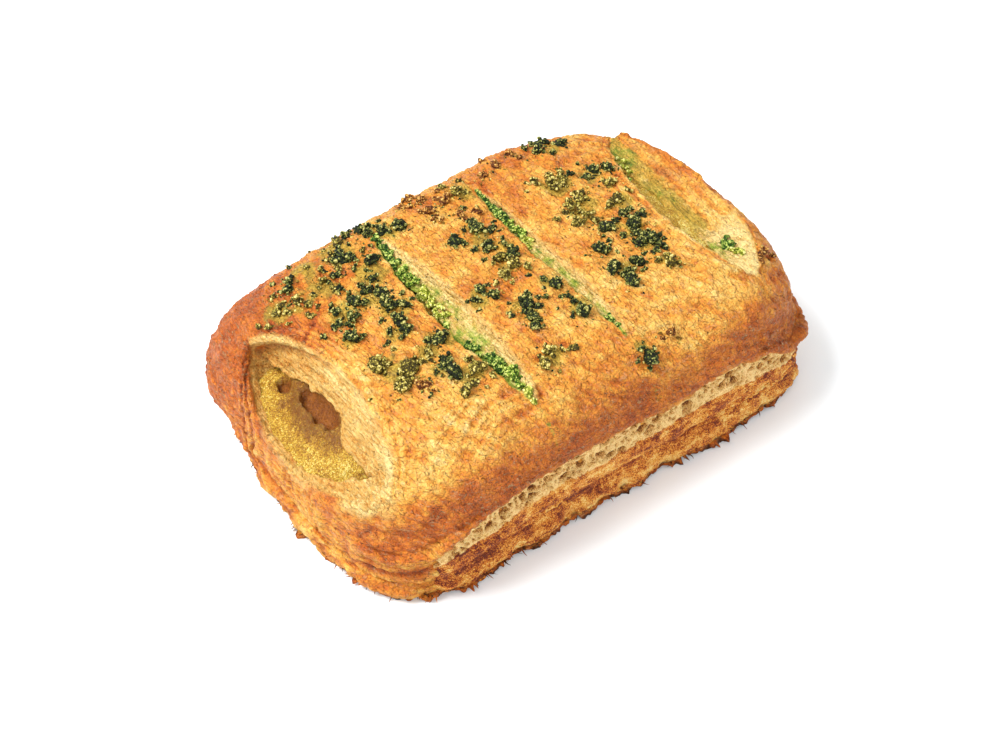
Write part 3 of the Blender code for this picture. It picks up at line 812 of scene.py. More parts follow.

# %% [markdown]
# The herbs bled green into the two narrow slits and the right mouth, mostly at the bottom and
# at the back end. Painted shade darkens a wall deeper below the rim, and the thin bottom edge is burnt.

# %% Green, painted depth shade and burnt
GREENS = (
    # slit, place along it, length of the stain, strength
    (1, 0.85, 0.16, 1.0), (1, 0.50, 0.20, 0.9), (1, 0.12, 0.18, 0.7), (1, -0.42, 0.2, 1.0),
    (1, -0.72, 0.18, 1.0), (2, 0.8, 0.2, 1.0), (2, 0.45, 0.2, 1.0), (2, 0.1, 0.3, 0.55),
    (2, -0.5, 0.4, 0.35), (2, -0.9, 0.12, 0.8), (3, -0.55, 0.16, 0.8), (3, 0.75, 0.2, 0.6),
    (3, 0.25, 0.3, 0.45), (3, -0.15, 0.2, 0.35),
)

green = np.zeros(len(px))
for index, place, length, strength in GREENS:
    low_side = ease(0.9, -0.6, slit_across[index])
    here = bell(slit_along[index], place, length) * ease(0.8, -0.3, slit_off[index]) * low_side
    green = np.maximum(green, strength * here * on_top)
for index in (1, 2):
    low = ease(1.5, 0.1, slit_across[index]) * on_top
    green = np.maximum(green, 0.56 * ease(1.2, -0.6, slit_off[index]) * low)
green *= 1 + 0.5 * lumps(crust_spots, 1.6, 95)
rim_height = crust_height(px, py, LIP_BACK)
# deep is painted shade: a slit's wall is darker the further it lies below the rim.
deep = walls * (ease(0.5, 6.0, rim_height - pz) - 0.5 * wall_lines)
burnt = 0.8 * ease(1.9, 0.1, pz + 0.9 * lumps(crust_spots, 1.6, 96))
keep_amounts(crust, "marks", burnt, deep, green)
print("green reaches", green.max().round(2))

# %% [markdown]
# The skin has more faces than it needs on the flat underside and inside. A collapse keeps them
# where the relief is rough and saves them where nothing shows, and the amounts ride along.

# %% A lighter skin
CRUST_LIMIT = 188000
UNSEEN_SHARE = 0.56

unseen = crust.vertex_groups.new(name="unseen")
unseen.add(np.flatnonzero(hidden).tolist(), 1.0, "REPLACE")
apply_modifier(crust, "DECIMATE", ratio=UNSEEN_SHARE, vertex_group="unseen", vertex_group_factor=100)
print("less the unseen side,", count_of(crust))
crust.data.calc_loop_triangles()
crust_triangles = len(crust.data.loop_triangles)
if crust_triangles > CRUST_LIMIT:
    apply_modifier(crust, "DECIMATE", ratio=CRUST_LIMIT / crust_triangles)
crust.data.shade_smooth()
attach(crust, "root")
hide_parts("pastry")
print(count_of(crust), "attributes", [a.name for a in crust.data.color_attributes])

# %% [markdown]
# The filling is a grainy, moist pillow. Only what the slits show matters, so its grain is
# finest there. Under the left mouth's torn edge it sank away from the dough while it cooled,
# which leaves the hollows; their brown is partly the baked dough inside and partly painted shade.

# %% The filling's form
HOLLOWS = (
    # x, y, radius along y, radius across, depth
    (-52.4, 6.5, 8.0, 2.5, 3.0), (-54.2, 18.8, 2.4, 1.5, 2.6), (-51.8, -5.0, 2.0, 1.4, 2.0),
    (47.2, -11.0, 2.2, 1.5, 2.2),
)
BULGES = (
    # slit, along it from and to, across it from and to, depth below the rim at both
    (0, -0.62, 0.86, -1.0, 0.5, 1.2, 4.6),
    (3, -0.62, 0.55, -1.0, 0.3, 2.6, 5.0),
)
PUSHED_OUT = 3.2
FILLING_LIMIT = 80000

filling_corners, filling_faces = cut_cube((250, 150, 8))
filling = new_piece("filling_body", filling_places(filling_corners), filling_faces)
fill_spots, fill_facing = places_of(filling)
fx, fy, fz = fill_spots.T
mouth_t = slit_place(SLITS[0], fx, fy)[0]
mouth_half = SLITS[0][2] / 2 * math.cos(math.radians(SLITS[0][4])) * np.clip(
    1 - mouth_t ** 2, 0.001, 1) ** LENS_POWER
mouth_edge = SLITS[0][0][0] - mouth_half + 0.8
push = np.clip(-FILLING_SIDES[0] - mouth_edge, 0, PUSHED_OUT) * ease(-57.0, -61.0, fx) * ease(10, 15, fz)
fill_spots[:, 0] -= push * (np.abs(mouth_t) < 1)
fx, fy, fz = fill_spots.T.copy()
for index, t_from, t_to, s_from, s_to, near_depth, far_depth in BULGES:
    (cx, _, cz), _, _, _, lean, _, _ = SLITS[index]
    t, s = slit_place(SLITS[index], fx, fy)
    window = ease(t_from - 0.1, t_from + 0.08, t) * ease(t_to + 0.1, t_to - 0.08, t)
    window = window * ease(s_to + 0.25, s_to, s) * ease(s_from - 0.3, s_from - 0.05, s) * ease(12, 15, fz)
    below = near_depth + (far_depth - near_depth) * np.clip((s - s_from) / (s_to - s_from), 0, 1) ** 0.8
    plane = cz + (fx - cx) * math.tan(math.radians(lean)) - below / math.cos(math.radians(lean))
    fill_spots[:, 2] += np.maximum(0, plane - fill_spots[:, 2]) * window
print("the filling bulges up by as much as", (fill_spots[:, 2] - fz).max().round(1), "mm")

# %% [markdown]
# Close up, the filling is a paste of small grains, cracked off the dough in a few hollows. The
# same cells that made the blisters make the grains, much finer, and each hollow is a soft oval
# pit with a wavering edge. The amounts kept here tell the material where the hollows' brown and
# painted shade go, where the grains are, and how far a place lies from the main hollow, which
# sets painted shade on the mass near it.

# %% The filling's grain
fx, fy, fz = fill_spots.T.copy()
sunk = np.zeros(len(fx))
for x, y, long, wide, depth in HOLLOWS:
    warp = 1 + 0.35 * lumps(fill_spots, 2.2, 100) + 0.2 * lumps(fill_spots, 0.9, 105)
    far = np.hypot((fx - x) / wide, (fy - y) / long) * warp
    sunk = np.maximum(sunk, depth * ease(1.2, 0.75, far))
grain_near, _, grain_number = cells(fill_spots, 0.9, 101)
grains = np.clip(0.7 - grain_near, 0, 1) * (0.6 + 0.4 * grain_number)
fill_move = 0.4 * lumps(fill_spots, 4.0, 102) + 0.3 * lumps(fill_spots, 1.7, 103) + 0.5 * grains
fill_move *= ease(3.0, 0.5, sunk)
outside = ease(FILLING_LIP - 4, FILLING_LIP + 1, fz)
fill_places = fill_spots + fill_facing * (fill_move * outside)[:, None]
fill_places[:, 2] -= sunk * outside
set_places(filling, fill_places)
# The mass is painted darker amber near the main hollow: painted shade under the torn edge.
from_hollow = np.hypot((fx - HOLLOWS[0][0]) / 2, (fy - HOLLOWS[0][1]) / 5)
keep_amounts(filling, "filling_marks", ease(0.4, 1.4, sunk), grains * 1.6,
             0.1 + 0.7 * ease(1.0, 4.5, from_hollow) + 0.25 * lumps(fill_spots, 5.0, 104))
filling.data.calc_loop_triangles()
apply_modifier(filling, "DECIMATE", ratio=FILLING_LIMIT / len(filling.data.loop_triangles))
filling.data.shade_smooth()
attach(filling, "root")
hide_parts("filling")
print(count_of(filling))

# %% [markdown]
# The cut front gets its own fine piece, since nearly every layer of the dough shows there. It
# is a sleeve along the front: the outer side follows the parcel's own side, a bottom sheet, a
# brown fold and the band of open crumb, and the inner side is a plain wall hidden in the dough.
# The crumb's holes are cells of two sizes, stretched along the layers.

# %% The layers' places
BAND_TABLE = SIDE_FRONT[:8] + ((0.95, -3.4), (1, -3.6))
LAYER_STEPS = ((620, 112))
LAYER_TOP = 0.95
WALL_BEHIND = 3.5


def front_path(steps):
    """Directions (cu, cv) along the outline from the left corner, past the front, and round."""
    p = np.linspace(-1.12, 1.55, steps)
    u = np.clip(p, -1, 1)
    v = -1 + np.maximum(0, np.abs(p) - 1)
    return rounded(u, v, OUTLINE_POWER)


def outward(cu, cv):
    """The way the outline faces at the directions (cu, cv)."""
    x = np.sign(cu) * np.abs(cu) ** (OUTLINE_POWER - 1)
    y = np.sign(cv) * np.abs(cv) ** (OUTLINE_POWER - 1)
    length = np.hypot(x, y)
    return x / length, y / length


def walked(x, y):
    """How far one has walked at each place of a path."""
    return np.concatenate([[0], np.cumsum(np.hypot(np.diff(x), np.diff(y)))])


columns, rows = LAYER_STEPS
path_u, path_v = front_path(columns)
flat_u, flat_v = np.repeat(path_u, rows), np.repeat(path_v, rows)
flat_share = np.tile(np.linspace(0.0, LAYER_TOP, rows), columns)
layer_x, layer_y, pull_x, pull_y = side_places(flat_u, flat_v, flat_share, BAND_TABLE)
layer_z = flat_share * lip_height(layer_x, flat_v)
layer_x, layer_y = layer_x + pull_x, layer_y + pull_y
face_x, face_y = outward(flat_u, flat_v)
walk = walked(*side_places(path_u, path_v, np.full(columns, 0.5))[:2])
flat_walk = np.repeat(walk, rows)
print("the front's layers run for", walk[-1].round(1), "mm")

# %% [markdown]
# The open crumb is full of holes between thin walls, and the folds round it part into leaves.
# A hole is a place far from its cell's walls, which is what the gap between the nearest and
# the next middle tells. Towards both ends the sleeve sinks into the dough and is lost to sight.

# %% The layers' relief
SUNK_ENDS = 3.2

walk_spots = np.stack([flat_walk / 1.5, layer_z, np.zeros_like(layer_z)], axis=1)
waver = 0.035 * lumps(walk_spots, 6.0, 110) + 0.02 * lumps(walk_spots, 2.2, 109)
crumb_zone = ease(0.54, 0.60, flat_share + waver) * ease(0.94, 0.89, flat_share)
big_near, big_next, big_number = cells(walk_spots, 1.9, 111)
small_near, small_next, small_number = cells(walk_spots, 0.95, 112)
big_holes = ease(0.05, 0.36, big_next - big_near) * ease(-0.5, 0.2, big_number)
small_holes = ease(0.05, 0.36, small_next - small_near) * ease(-0.7, 0.2, small_number)
side_spots = np.stack([layer_x, layer_y, layer_z], axis=1)
leaf = lines(layer_z + 0.45 * lumps(side_spots, 7.0, 113), flat_walk, 0.95, 22.0, 114)
rough = lumps(side_spots, 3.2, 116) + 0.6 * lumps(side_spots, 1.4, 117)
crags = lumps(side_spots, 0.8, 119)
flake_line = bell(flat_share, 0.37 + 0.03 * np.sin(flat_walk / 9), 0.02) * ease(
    -0.3, 0.3, lumps(walk_spots, 9.0, 118))
layer_move = -crumb_zone * (1.25 * big_holes + 0.55 * small_holes) + (1 - crumb_zone) * (
    0.5 * rough + 0.22 * crags)
layer_move += 0.28 * leaf * (1 - 0.4 * crumb_zone) + 0.9 * flake_line
shown = ease(*BAND_FROM, flat_u * LEFT) * ease(0, 6, walk[-1] - flat_walk)
layer_move -= SUNK_ENDS * (1 - shown)
layer_x = layer_x + face_x * layer_move
layer_y = layer_y + face_y * layer_move
print("holes reach", layer_move.min().round(2), "mm in; flakes stand", layer_move.max().round(2), "mm out")

# %% [markdown]
# The moved places become the sleeve's outer side, and two more places in each ring its hidden
# inner wall. The kept amounts are the same as the crust's where the two share a colour: how
# brown, with painted shade in the groove above the bottom sheet and under the lip, how much
# crumb, how deep in a hole, which sets painted shade there, and how burnt the bottom edge is.

# %% The layers' piece
outer_side = np.stack([layer_x, layer_y, np.maximum(layer_z, 0.05)], axis=1).reshape(columns, rows, 3)
inner_side = outer_side[:, [-1, 0]].copy()
for axis, facing in enumerate(outward(path_u, path_v)):
    inner_side[:, :, axis] -= facing[:, None] * WALL_BEHIND
layer_rings = np.concatenate([outer_side, inner_side], axis=1)
places, faces = sleeve(layer_rings)
layers = new_piece("pastry_layers", places, faces)


def pad_rings(values, inner=0.0):
    """Add the two hidden inner places of each ring to values given for the outer side."""
    shaped = values.reshape(columns, rows)
    return np.concatenate([shaped, np.full((columns, 2), inner)], axis=1).ravel()


face_out(layers)
layer_brown_and_shade = 0.66 - 0.10 * crumb_zone + 0.34 * rough - 0.14 * leaf - 0.10 * crags
# Painted shade: darker in the groove above the bottom sheet and in the shadow under the lip.
layer_brown_and_shade += 0.2 * bell(flat_share, 0.30, 0.05) + 0.15 * bell(flat_share, 0.93, 0.04)
layer_brown_and_shade -= 0.16 * bell(flat_share, 0.17, 0.1) + 0.25 * flake_line
layer_brown_and_shade += 0.12 * ease(-20, -45, flat_u * LEFT)
keep_amounts(layers, "baking", pad_rings(layer_brown_and_shade), pad_rings(crumb_zone),
             # The third amount, how deep in a hole, sets painted shade there.
             pad_rings(np.maximum(big_holes, 0.6 * small_holes) * crumb_zone))
keep_amounts(layers, "marks", pad_rings(ease(0.14, 0.0, flat_share + 0.04 * rough)))
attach(layers, "root")
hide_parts("pastry")
print(count_of(layers))

# %% [markdown]
# Along the bottom the dough ends in a thin frill that crisped and burnt on the tray. It is a
# flat sleeve round the whole base with a ragged outer edge: many short points of uneven length,
# curling up and down. It stays above the tray.

# %% The burnt frill
FRILL_STEPS = 1500
FRILL_ACROSS = 6
FRILL_INSIDE = 2.4
ABOVE_TRAY = 0.06


def base_path(steps):
    """Directions (cu, cv) once round the outline."""
    angle = np.linspace(0, 2 * np.pi, steps, endpoint=False)
    u, v = np.cos(angle), np.sin(angle)
    most = np.maximum(np.abs(u), np.abs(v))
    return rounded(u / most, v / most, OUTLINE_POWER)


base_u, base_v = base_path(FRILL_STEPS)
base_x, base_y, pull_x, pull_y = side_places(base_u, base_v, np.full(FRILL_STEPS, 0.06))
base_x, base_y = base_x + pull_x, base_y + pull_y
out_x, out_y = outward(base_u, base_v)
base_walk = walked(base_x, base_y)
seen_side = np.clip(-0.8 * out_x - 0.9 * out_y, 0, 1)
walk_line = np.stack([base_walk, base_walk * 0, base_walk * 0], axis=1)
points = 0.5 + 0.5 * lumps(walk_line, 0.75, 120)
tufts = ease(-0.2, 0.7, lumps(walk_line, 5.5, 121))
frill_reach = 0.25 + (0.5 + 1.5 * seen_side) * (0.35 + tufts) * points ** 2
curl = 0.9 * lumps(walk_line, 2.2, 122) + 0.5 * lumps(walk_line, 0.9, 123)
step = np.linspace(0, 1, FRILL_ACROSS)[None, :]
off = -FRILL_INSIDE + (FRILL_INSIDE + frill_reach[:, None]) * step
top_z = 1.5 + (curl[:, None] - 0.5) * step ** 2
thick = 0.75 - 0.55 * step
frill_x = base_x[:, None] + out_x[:, None] * off
frill_y = base_y[:, None] + out_y[:, None] * off
upper = np.stack([frill_x, frill_y, np.maximum(top_z, 0.3)], axis=-1)
lower = np.stack([frill_x, frill_y, np.maximum(top_z - thick, ABOVE_TRAY)], axis=-1)[:, ::-1]
frill_rings = np.concatenate([upper, lower], axis=1)
frill_rings = np.concatenate([frill_rings, frill_rings[:1]], axis=0)
burn_across = 0.25 + 0.75 * step[0]
frill_burn = np.tile(np.concatenate([burn_across, burn_across[::-1]]), FRILL_STEPS + 1)
places, faces = sleeve(frill_rings)
frill = new_piece("pastry_frill", places, faces)
keep_amounts(frill, "baking", 0.36 + 0.4 * frill_burn)
keep_amounts(frill, "marks", ease(0.75, 1.25, frill_burn + 0.4 * lumps(places, 2.2, 124)))
shape = bmesh.new()
shape.from_mesh(frill.data)
ends = [face for face in shape.faces if len(face.verts) > 4]
bmesh.ops.delete(shape, geom=ends, context="FACES_ONLY")
bmesh.ops.remove_doubles(shape, verts=shape.verts, dist=0.001 * MM)
shape.to_mesh(frill.data)
shape.free()
face_out(frill)
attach(frill, "root")
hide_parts("pastry")
print(count_of(frill))

# %% [markdown]
# Between the frill's points stand little burnt curls, hair-thin strips of dough that rolled up
# in the heat. Each is a short tapering sleeve bent into a hook, at a random place of the base,
# mostly on the sides with the widest frill.

# %% Burnt curls
CURLS, CURL_RINGS, CURL_AROUND = 260, 9, 6
CURL_LENGTH, CURL_HOOK, CURL_TURN = (1.2, 3.4), (-2.6, 2.6), (-0.9, 0.9)
CURL_LIFT, CURL_THICKNESS, CURL_HEIGHT = (-0.35, 0.9), (0.11, 0.24), (0.7, 2.4)


def curl_rings(root, ahead, side, length, hook, turn, lift, thin):
    """The rings of one curl, thinner and more bent towards its tip."""
    path = [root]
    for ring in range(1, CURL_RINGS):
        bend_now = turn + hook * (ring / CURL_RINGS) ** 1.5
        heading = ahead * math.cos(bend_now) + side * math.sin(bend_now)
        heading = heading + np.array((0, 0, lift * math.cos(hook * ring / CURL_RINGS)))
        path.append(path[-1] + heading / np.linalg.norm(heading) * length / CURL_RINGS)
    spin = np.linspace(0, 2 * np.pi, CURL_AROUND, endpoint=False)
    circle = np.outer(np.cos(spin), side) + np.outer(np.sin(spin), (0, 0, 0.6))
    taper = thin * (1 - 0.85 * np.arange(CURL_RINGS) / (CURL_RINGS - 1)) * 1.5
    return np.array([middle + radius * circle for middle, radius in zip(path, taper)])


draw = random.Random(31)
curl_places, curl_faces = [], []
while len(curl_faces) < CURLS:
    at = draw.randrange(FRILL_STEPS)
    limits = (CURL_LENGTH, CURL_HOOK, CURL_TURN, CURL_LIFT, CURL_THICKNESS)
    measures = [draw.uniform(*limit) for limit in limits]
    if draw.random() > 0.15 + seen_side[at] + 0.3 * tufts[at]:
        continue
    ahead = np.array((out_x[at], out_y[at], 0.0))
    side = np.array((-out_y[at], out_x[at], 0.0))
    root = np.array((base_x[at], base_y[at], draw.uniform(*CURL_HEIGHT))) - 0.3 * ahead
    places, faces = sleeve(curl_rings(root, ahead, side, *measures))
    places[:, 2] = np.maximum(places[:, 2], ABOVE_TRAY)
    base = len(curl_places) * CURL_RINGS * CURL_AROUND
    curl_places.append(places)
    curl_faces.append([[i + base for i in face] for face in faces])
curls = new_piece("burnt_curls", np.concatenate(curl_places), [f for faces in curl_faces for f in faces])
face_out(curls)
curl_tint = np.repeat(np.random.default_rng(5).uniform(0, 1, CURLS), CURL_RINGS * CURL_AROUND)
keep_amounts(curls, "baking", 0.6 + 0.4 * curl_tint)
keep_amounts(curls, "marks", 0.35 + 0.6 * curl_tint)
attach(curls, "root")
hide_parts("pastry")
print(count_of(curls))

# %% [markdown]
# Crumbs come next. To set each one down we look straight down onto the finished skin and
# filling, so that no crumb floats and none drowns. A search tree finds the face that lies
# under a place at once, where trying every face would take minutes.

# %% Landing on the finished skin
def tree_of(piece):
    """A search tree of a piece's faces, for looking down onto it."""
    piece.data.calc_loop_triangles()
    corners = [tuple(vert.co) for vert in piece.data.vertices]
    return BVHTree.FromPolygons(corners, [tuple(t.vertices) for t in piece.data.loop_triangles])


trees = [tree_of(crust), tree_of(filling)]


def surface_at(x, y):
    """The height that shows from above at (x, y)."""
    start = Vector((x * MM + SHIFT[0], y * MM + SHIFT[1], 0.1))
    hits = [tree.ray_cast(start, Vector((0, 0, -1)))[0] for tree in trees]
    return max([0.0] + [spot.z / MM for spot in hits if spot is not None])


def set_down(x, y, rise):
    """A place on the finished pastry, raised by a little."""
    return np.array((x, y, surface_at(x, y) + rise))


print("the skin between the two narrow slits is", round(surface_at(0.0, 20.0), 1), "mm high")

# %% [markdown]
# The large crumbs lie where the solid model has them, because the same seed draws the same
# places in the same order: patch by patch, then from the largest down, passing over any that
# comes too close to a neighbour or would reach over a slit.

# %% Where the crumbs lie
CRUMB_SEED, CRUMB_SPACE, CRUMB_RISE = 11, 0.8, 0.25
CRUMB_SIZES, CRUMB_LONG, CRUMB_WIDE, CRUMB_TALL = (0.6, 1.2), (0.9, 1.35), (0.8, 1.05), 0.85
CRUMB_KNOBS, CRUMB_TIP = 0.16, 0.5
COARSE_BALL_CORNERS = 12


def over_a_slit(x, y, size):
    """Whether a crumb of this size would reach over a slit."""
    for slit in SLITS:
        t, s = slit_place(slit, np.array([x]), np.array([y]))
        if abs(t[0]) < 1.05 and abs(s[0]) < 1 + 1.1 * size / (slit[2] / 2):
            return True
    return False


def off_the_top(x, y, reach):
    """Whether a place lies further out than a share of the outline."""
    return outline_reach(np.array([x]), np.array([y]))[0] > reach


def any_turn(draw):
    """A turn by a random angle about the upright."""
    return Matrix.Rotation(draw.uniform(0, math.tau), 3, "Z")


def crumb_places():
    """The crumbs' places and kinds, patch by patch, the largest first, off the slits and apart."""
    draw = random.Random(CRUMB_SEED)
    wanted = []
    for x, y, spread_out, count, radius, kind in CRUMB_PATCHES:
        for _ in range(count):
            size = radius * draw.uniform(*CRUMB_SIZES)
            wanted.append((size, draw.gauss(x, spread_out), draw.gauss(y, spread_out), kind))
    placed = []
    for size, x, y, kind in sorted(wanted, reverse=True):
        if any(math.hypot(x - px, y - py) < CRUMB_SPACE * (size + ps) for px, py, ps, _ in placed):
            continue
        if not over_a_slit(x, y, size):
            placed.append((x, y, size, kind))
    return placed


crumbs = crumb_places()
print(len(crumbs), "crumbs, the largest", round(crumbs[0][2] * 2, 1), "mm across")

# %% [markdown]
# A crumb is a clump of tiny grains. We squash and turn a ball as the solid model does its
# coarse one, make it lumpy, and grow small grains into its skin, so that it looks clumped from
# any side. A bumpy material on a plain ball would look smooth along its outline.

# %% A clumped crumb
def ball_of(subdivisions):
    """The corners and triangles of a unit ball."""
    ball = bmesh.new()
    bmesh.ops.create_icosphere(ball, subdivisions=subdivisions, radius=1.0)
    corners = np.array([vert.co for vert in ball.verts])
    faces = np.array([[vert.index for vert in face.verts] for face in ball.faces])
    ball.free()
    return corners, faces


FINE_BALL, SMALL_BALL, TINY_BALL = ball_of(4), ball_of(3), ball_of(2)
KNOB_SIZES, KNOB_REACH, KNOB_STRETCH = (0.30, 0.62), (0.78, 1.05), (0.75, 1.3)
CORE_SHARE, GRANULE = 0.84, 0.62


def lumpy_core(ball, size, stretch, seed):
    """An uneven ball, squashed, stretched and grainy, and how far out its skin stands, for painted tip
    highlights.
    """
    shape = ball[0] * stretch * size
    uneven = 1 + 0.34 * lumps(shape + seed * 3.7, size * 0.8, seed)
    shape = shape * uneven[:, None]
    near, _, number = cells(shape + seed * 1.9, GRANULE, seed + 3)
    tip_and_highlight = np.clip(0.75 - near, 0, 1) * (0.8 + 0.2 * number)
    return shape + ball[0] * (min(GRANULE, size) * (1.1 * tip_and_highlight - 0.35))[:, None], tip_and_highlight / 0.75


def cluster(ball, middle, size, turned, stretch, seed, knobs):
    """A crumb: a lumpy core with small grains grown into it, each with a tint of its own."""
    draw = np.random.default_rng(seed)
    core, core_tip_highlight = lumpy_core(ball, size * CORE_SHARE, stretch, seed)
    places, faces = [core], [ball[1]]
    tints, tip_highlights = [np.full(len(core), draw.uniform(0.1, 0.7))], [core_tip_highlight]
    base = len(core)
    for _ in range(knobs):
        way = draw.normal(size=3) + (0, 0, 0.5)
        way = way / np.linalg.norm(way)
        grain = draw.uniform(*KNOB_SIZES) * min(1.0, 0.5 + size / 3)
        knob = TINY_BALL[0] * grain * draw.uniform(*KNOB_STRETCH, 3)
        knob = knob * (1 + 0.25 * lumps(knob + seed, 0.4, seed))[:, None]
        places.append(knob + way * stretch * size * draw.uniform(*KNOB_REACH))
        faces.append(TINY_BALL[1] + base)
        tints.append(np.full(len(knob), draw.uniform(0, 1)))
        # A grain is painted lighter where it faces out and darker towards the core: painted highlight and
        # shade.
        tip_highlights.append(0.35 + 0.65 * np.clip(knob @ way / grain, -0.5, 1))
        base += len(knob)
    spots = np.concatenate(places) @ np.array(turned).T + middle
    return spots, np.concatenate(faces), np.concatenate(tip_highlights), np.concatenate(tints)


print("the balls have", [len(ball[1]) for ball in (FINE_BALL, SMALL_BALL, TINY_BALL)], "triangles")

# %% [markdown]
# Hundreds of crumbs as hundreds of objects would be slow to render and to export. Crumbs of
# one kind share one finish, so they become one joined mesh, which also keeps for each corner
# how far out on its grain it stands, for a painted highlight on the tips and painted shade
# between grains, and what tint its grain has.

# %% Many crumbs as one piece
def join_crumbs(name, made):
    """One piece from many crumbs; its attribute keeps each corner's painted tip highlight and tint."""
    places, triangles, tip_highlights, tints = zip(*made)
    bases = np.cumsum([0] + [len(spots) for spots in places[:-1]])
    faces = np.concatenate([part + base for part, base in zip(triangles, bases)])
    piece = new_piece(name, np.concatenate(places), faces.tolist())
    piece.data.shade_smooth()
    keep_amounts(piece, "crumb", np.concatenate(tip_highlights), np.concatenate(tints))
    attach(piece, "root")
    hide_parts("pastry")
    print(count_of(piece))
    return piece


# %% [markdown]
# The strewn crumbs follow the solid model's draws one by one, so each large one covers its
# coarse twin. Smaller ones lie between them: without those, the patches look too neat, since a
# real hand strews dust along with the clumps.

# %% The strewn crumbs
FINE_FROM = 1.5
KNOBS_AT_LEAST, KNOBS_PER_SIZE = 3, 5.0
SMALL_SHARE, SMALL_SIZES, SMALL_REACH = 1.5, (0.45, 1.0), 0.97


def knobs_for(size):
    """How many small grains a crumb of this size carries."""
    return int(KNOBS_AT_LEAST + KNOBS_PER_SIZE * size ** 1.2)


def squash(draw, longer):
    """How far a crumb is stretched along its three axes."""
    return np.array((draw.uniform(*CRUMB_LONG) * longer, draw.uniform(*CRUMB_WIDE), CRUMB_TALL))


def crumb_clusters():
    """The strewn crumbs by kind, turned and squashed as the solid model's are."""
    draw = random.Random(CRUMB_SEED + 1)
    kinds = {"dark": [], "olive": [], "brown": []}
    for index, (x, y, size, kind) in enumerate(crumbs):
        # The solid model draws a number for each corner of its coarse ball; we pass them by.
        for _ in range(COARSE_BALL_CORNERS):
            draw.uniform(-CRUMB_KNOBS, CRUMB_KNOBS)
        stretch = squash(draw, 1.12)
        turned = any_turn(draw) @ Matrix.Rotation(draw.uniform(-CRUMB_TIP, CRUMB_TIP), 3, "X")
        middle = set_down(x, y, size * CRUMB_RISE)
        ball = FINE_BALL if size > FINE_FROM else SMALL_BALL
        kinds[kind].append(cluster(ball, middle, size, turned, stretch, index + 1, knobs_for(size)))
    return kinds


def add_small_crumbs(kinds):
    """Smaller crumbs that lie between the large ones."""
    draw = random.Random(CRUMB_SEED + 2)
    for x, y, wide, count, _, kind in CRUMB_PATCHES:
        for _ in range(int(count * SMALL_SHARE)):
            cx, cy = draw.gauss(x, 1.1 * wide + 0.6), draw.gauss(y, 1.1 * wide + 0.6)
            size = draw.uniform(*SMALL_SIZES)
            stretch = squash(draw, 1.2)
            turned = any_turn(draw)
            seed = draw.randrange(1, 900)
            crowded = any(math.hypot(cx - bx, cy - by) < 0.7 * (size + far) for bx, by, far, _ in crumbs)
            if crowded or off_the_top(cx, cy, SMALL_REACH) or over_a_slit(cx, cy, size):
                continue
            middle = set_down(cx, cy, size * CRUMB_RISE)
            kinds[kind].append(cluster(TINY_BALL, middle, size, turned, stretch, seed, knobs_for(size)))
    return kinds


all_crumbs = add_small_crumbs(crumb_clusters())
crumb_pieces = {kind: join_crumbs(f"crumbs_{kind}", made) for kind, made in all_crumbs.items()}

# %% [markdown]
# Round each clump lies finer stuff: single grains of herb and toasted nut that rolled a little
# way. They are small uneven balls, scattered round the same crumbs and set down half sunk on
# the skin. Two pieces hold them, one dark and one golden.

# %% Fine grains
GRAINS_PER_CRUMB = 9
GRAIN_SIZES = (0.16, 0.46)
GRAIN_REACH, GRAIN_RISE = 0.985, 0.15
GRAIN_DARKNESS = {"dark": 0.5, "olive": 0.22, "brown": 0.3}
draw = random.Random(77)
fine_grains = {"dark": [], "gold": []}
for x, y, crumb_size, kind in crumbs:
    for _ in range(GRAINS_PER_CRUMB):
        far = crumb_size * draw.uniform(0.9, 1.5) + abs(draw.gauss(0, 1.0))
        way = draw.uniform(0, math.tau)
        gx, gy = x + far * math.cos(way), y + far * math.sin(way)
        size = draw.uniform(*GRAIN_SIZES)
        dark = draw.random() < GRAIN_DARKNESS[kind]
        stretch = np.array((draw.uniform(0.8, 1.7), draw.uniform(0.7, 1.1), 0.75))
        turned = any_turn(draw)
        seed = draw.randrange(1, 400)
        tint = draw.random()
        if over_a_slit(gx, gy, size) or off_the_top(gx, gy, GRAIN_REACH):
            continue
        shape, tip_highlights = lumpy_core(TINY_BALL, size, stretch, seed)
        spots = shape @ np.array(turned).T + set_down(gx, gy, GRAIN_RISE * size)
        fine_grains["dark" if dark else "gold"].append(
            (spots, TINY_BALL[1], tip_highlights, np.full(len(spots), tint)))
grain_pieces = {kind: join_crumbs(f"grains_{kind}", made) for kind, made in fine_grains.items()}

# %% [markdown]
# Herbs also fell into the slits, where steam kept them bright. They lie as a loose, grainy heap
# along the low side of the two narrow slits, and as a few clumps in the right mouth. A table
# says where each heap lies in its slit's frame; the heap is many small clumps set down on
# whatever the slit shows there.

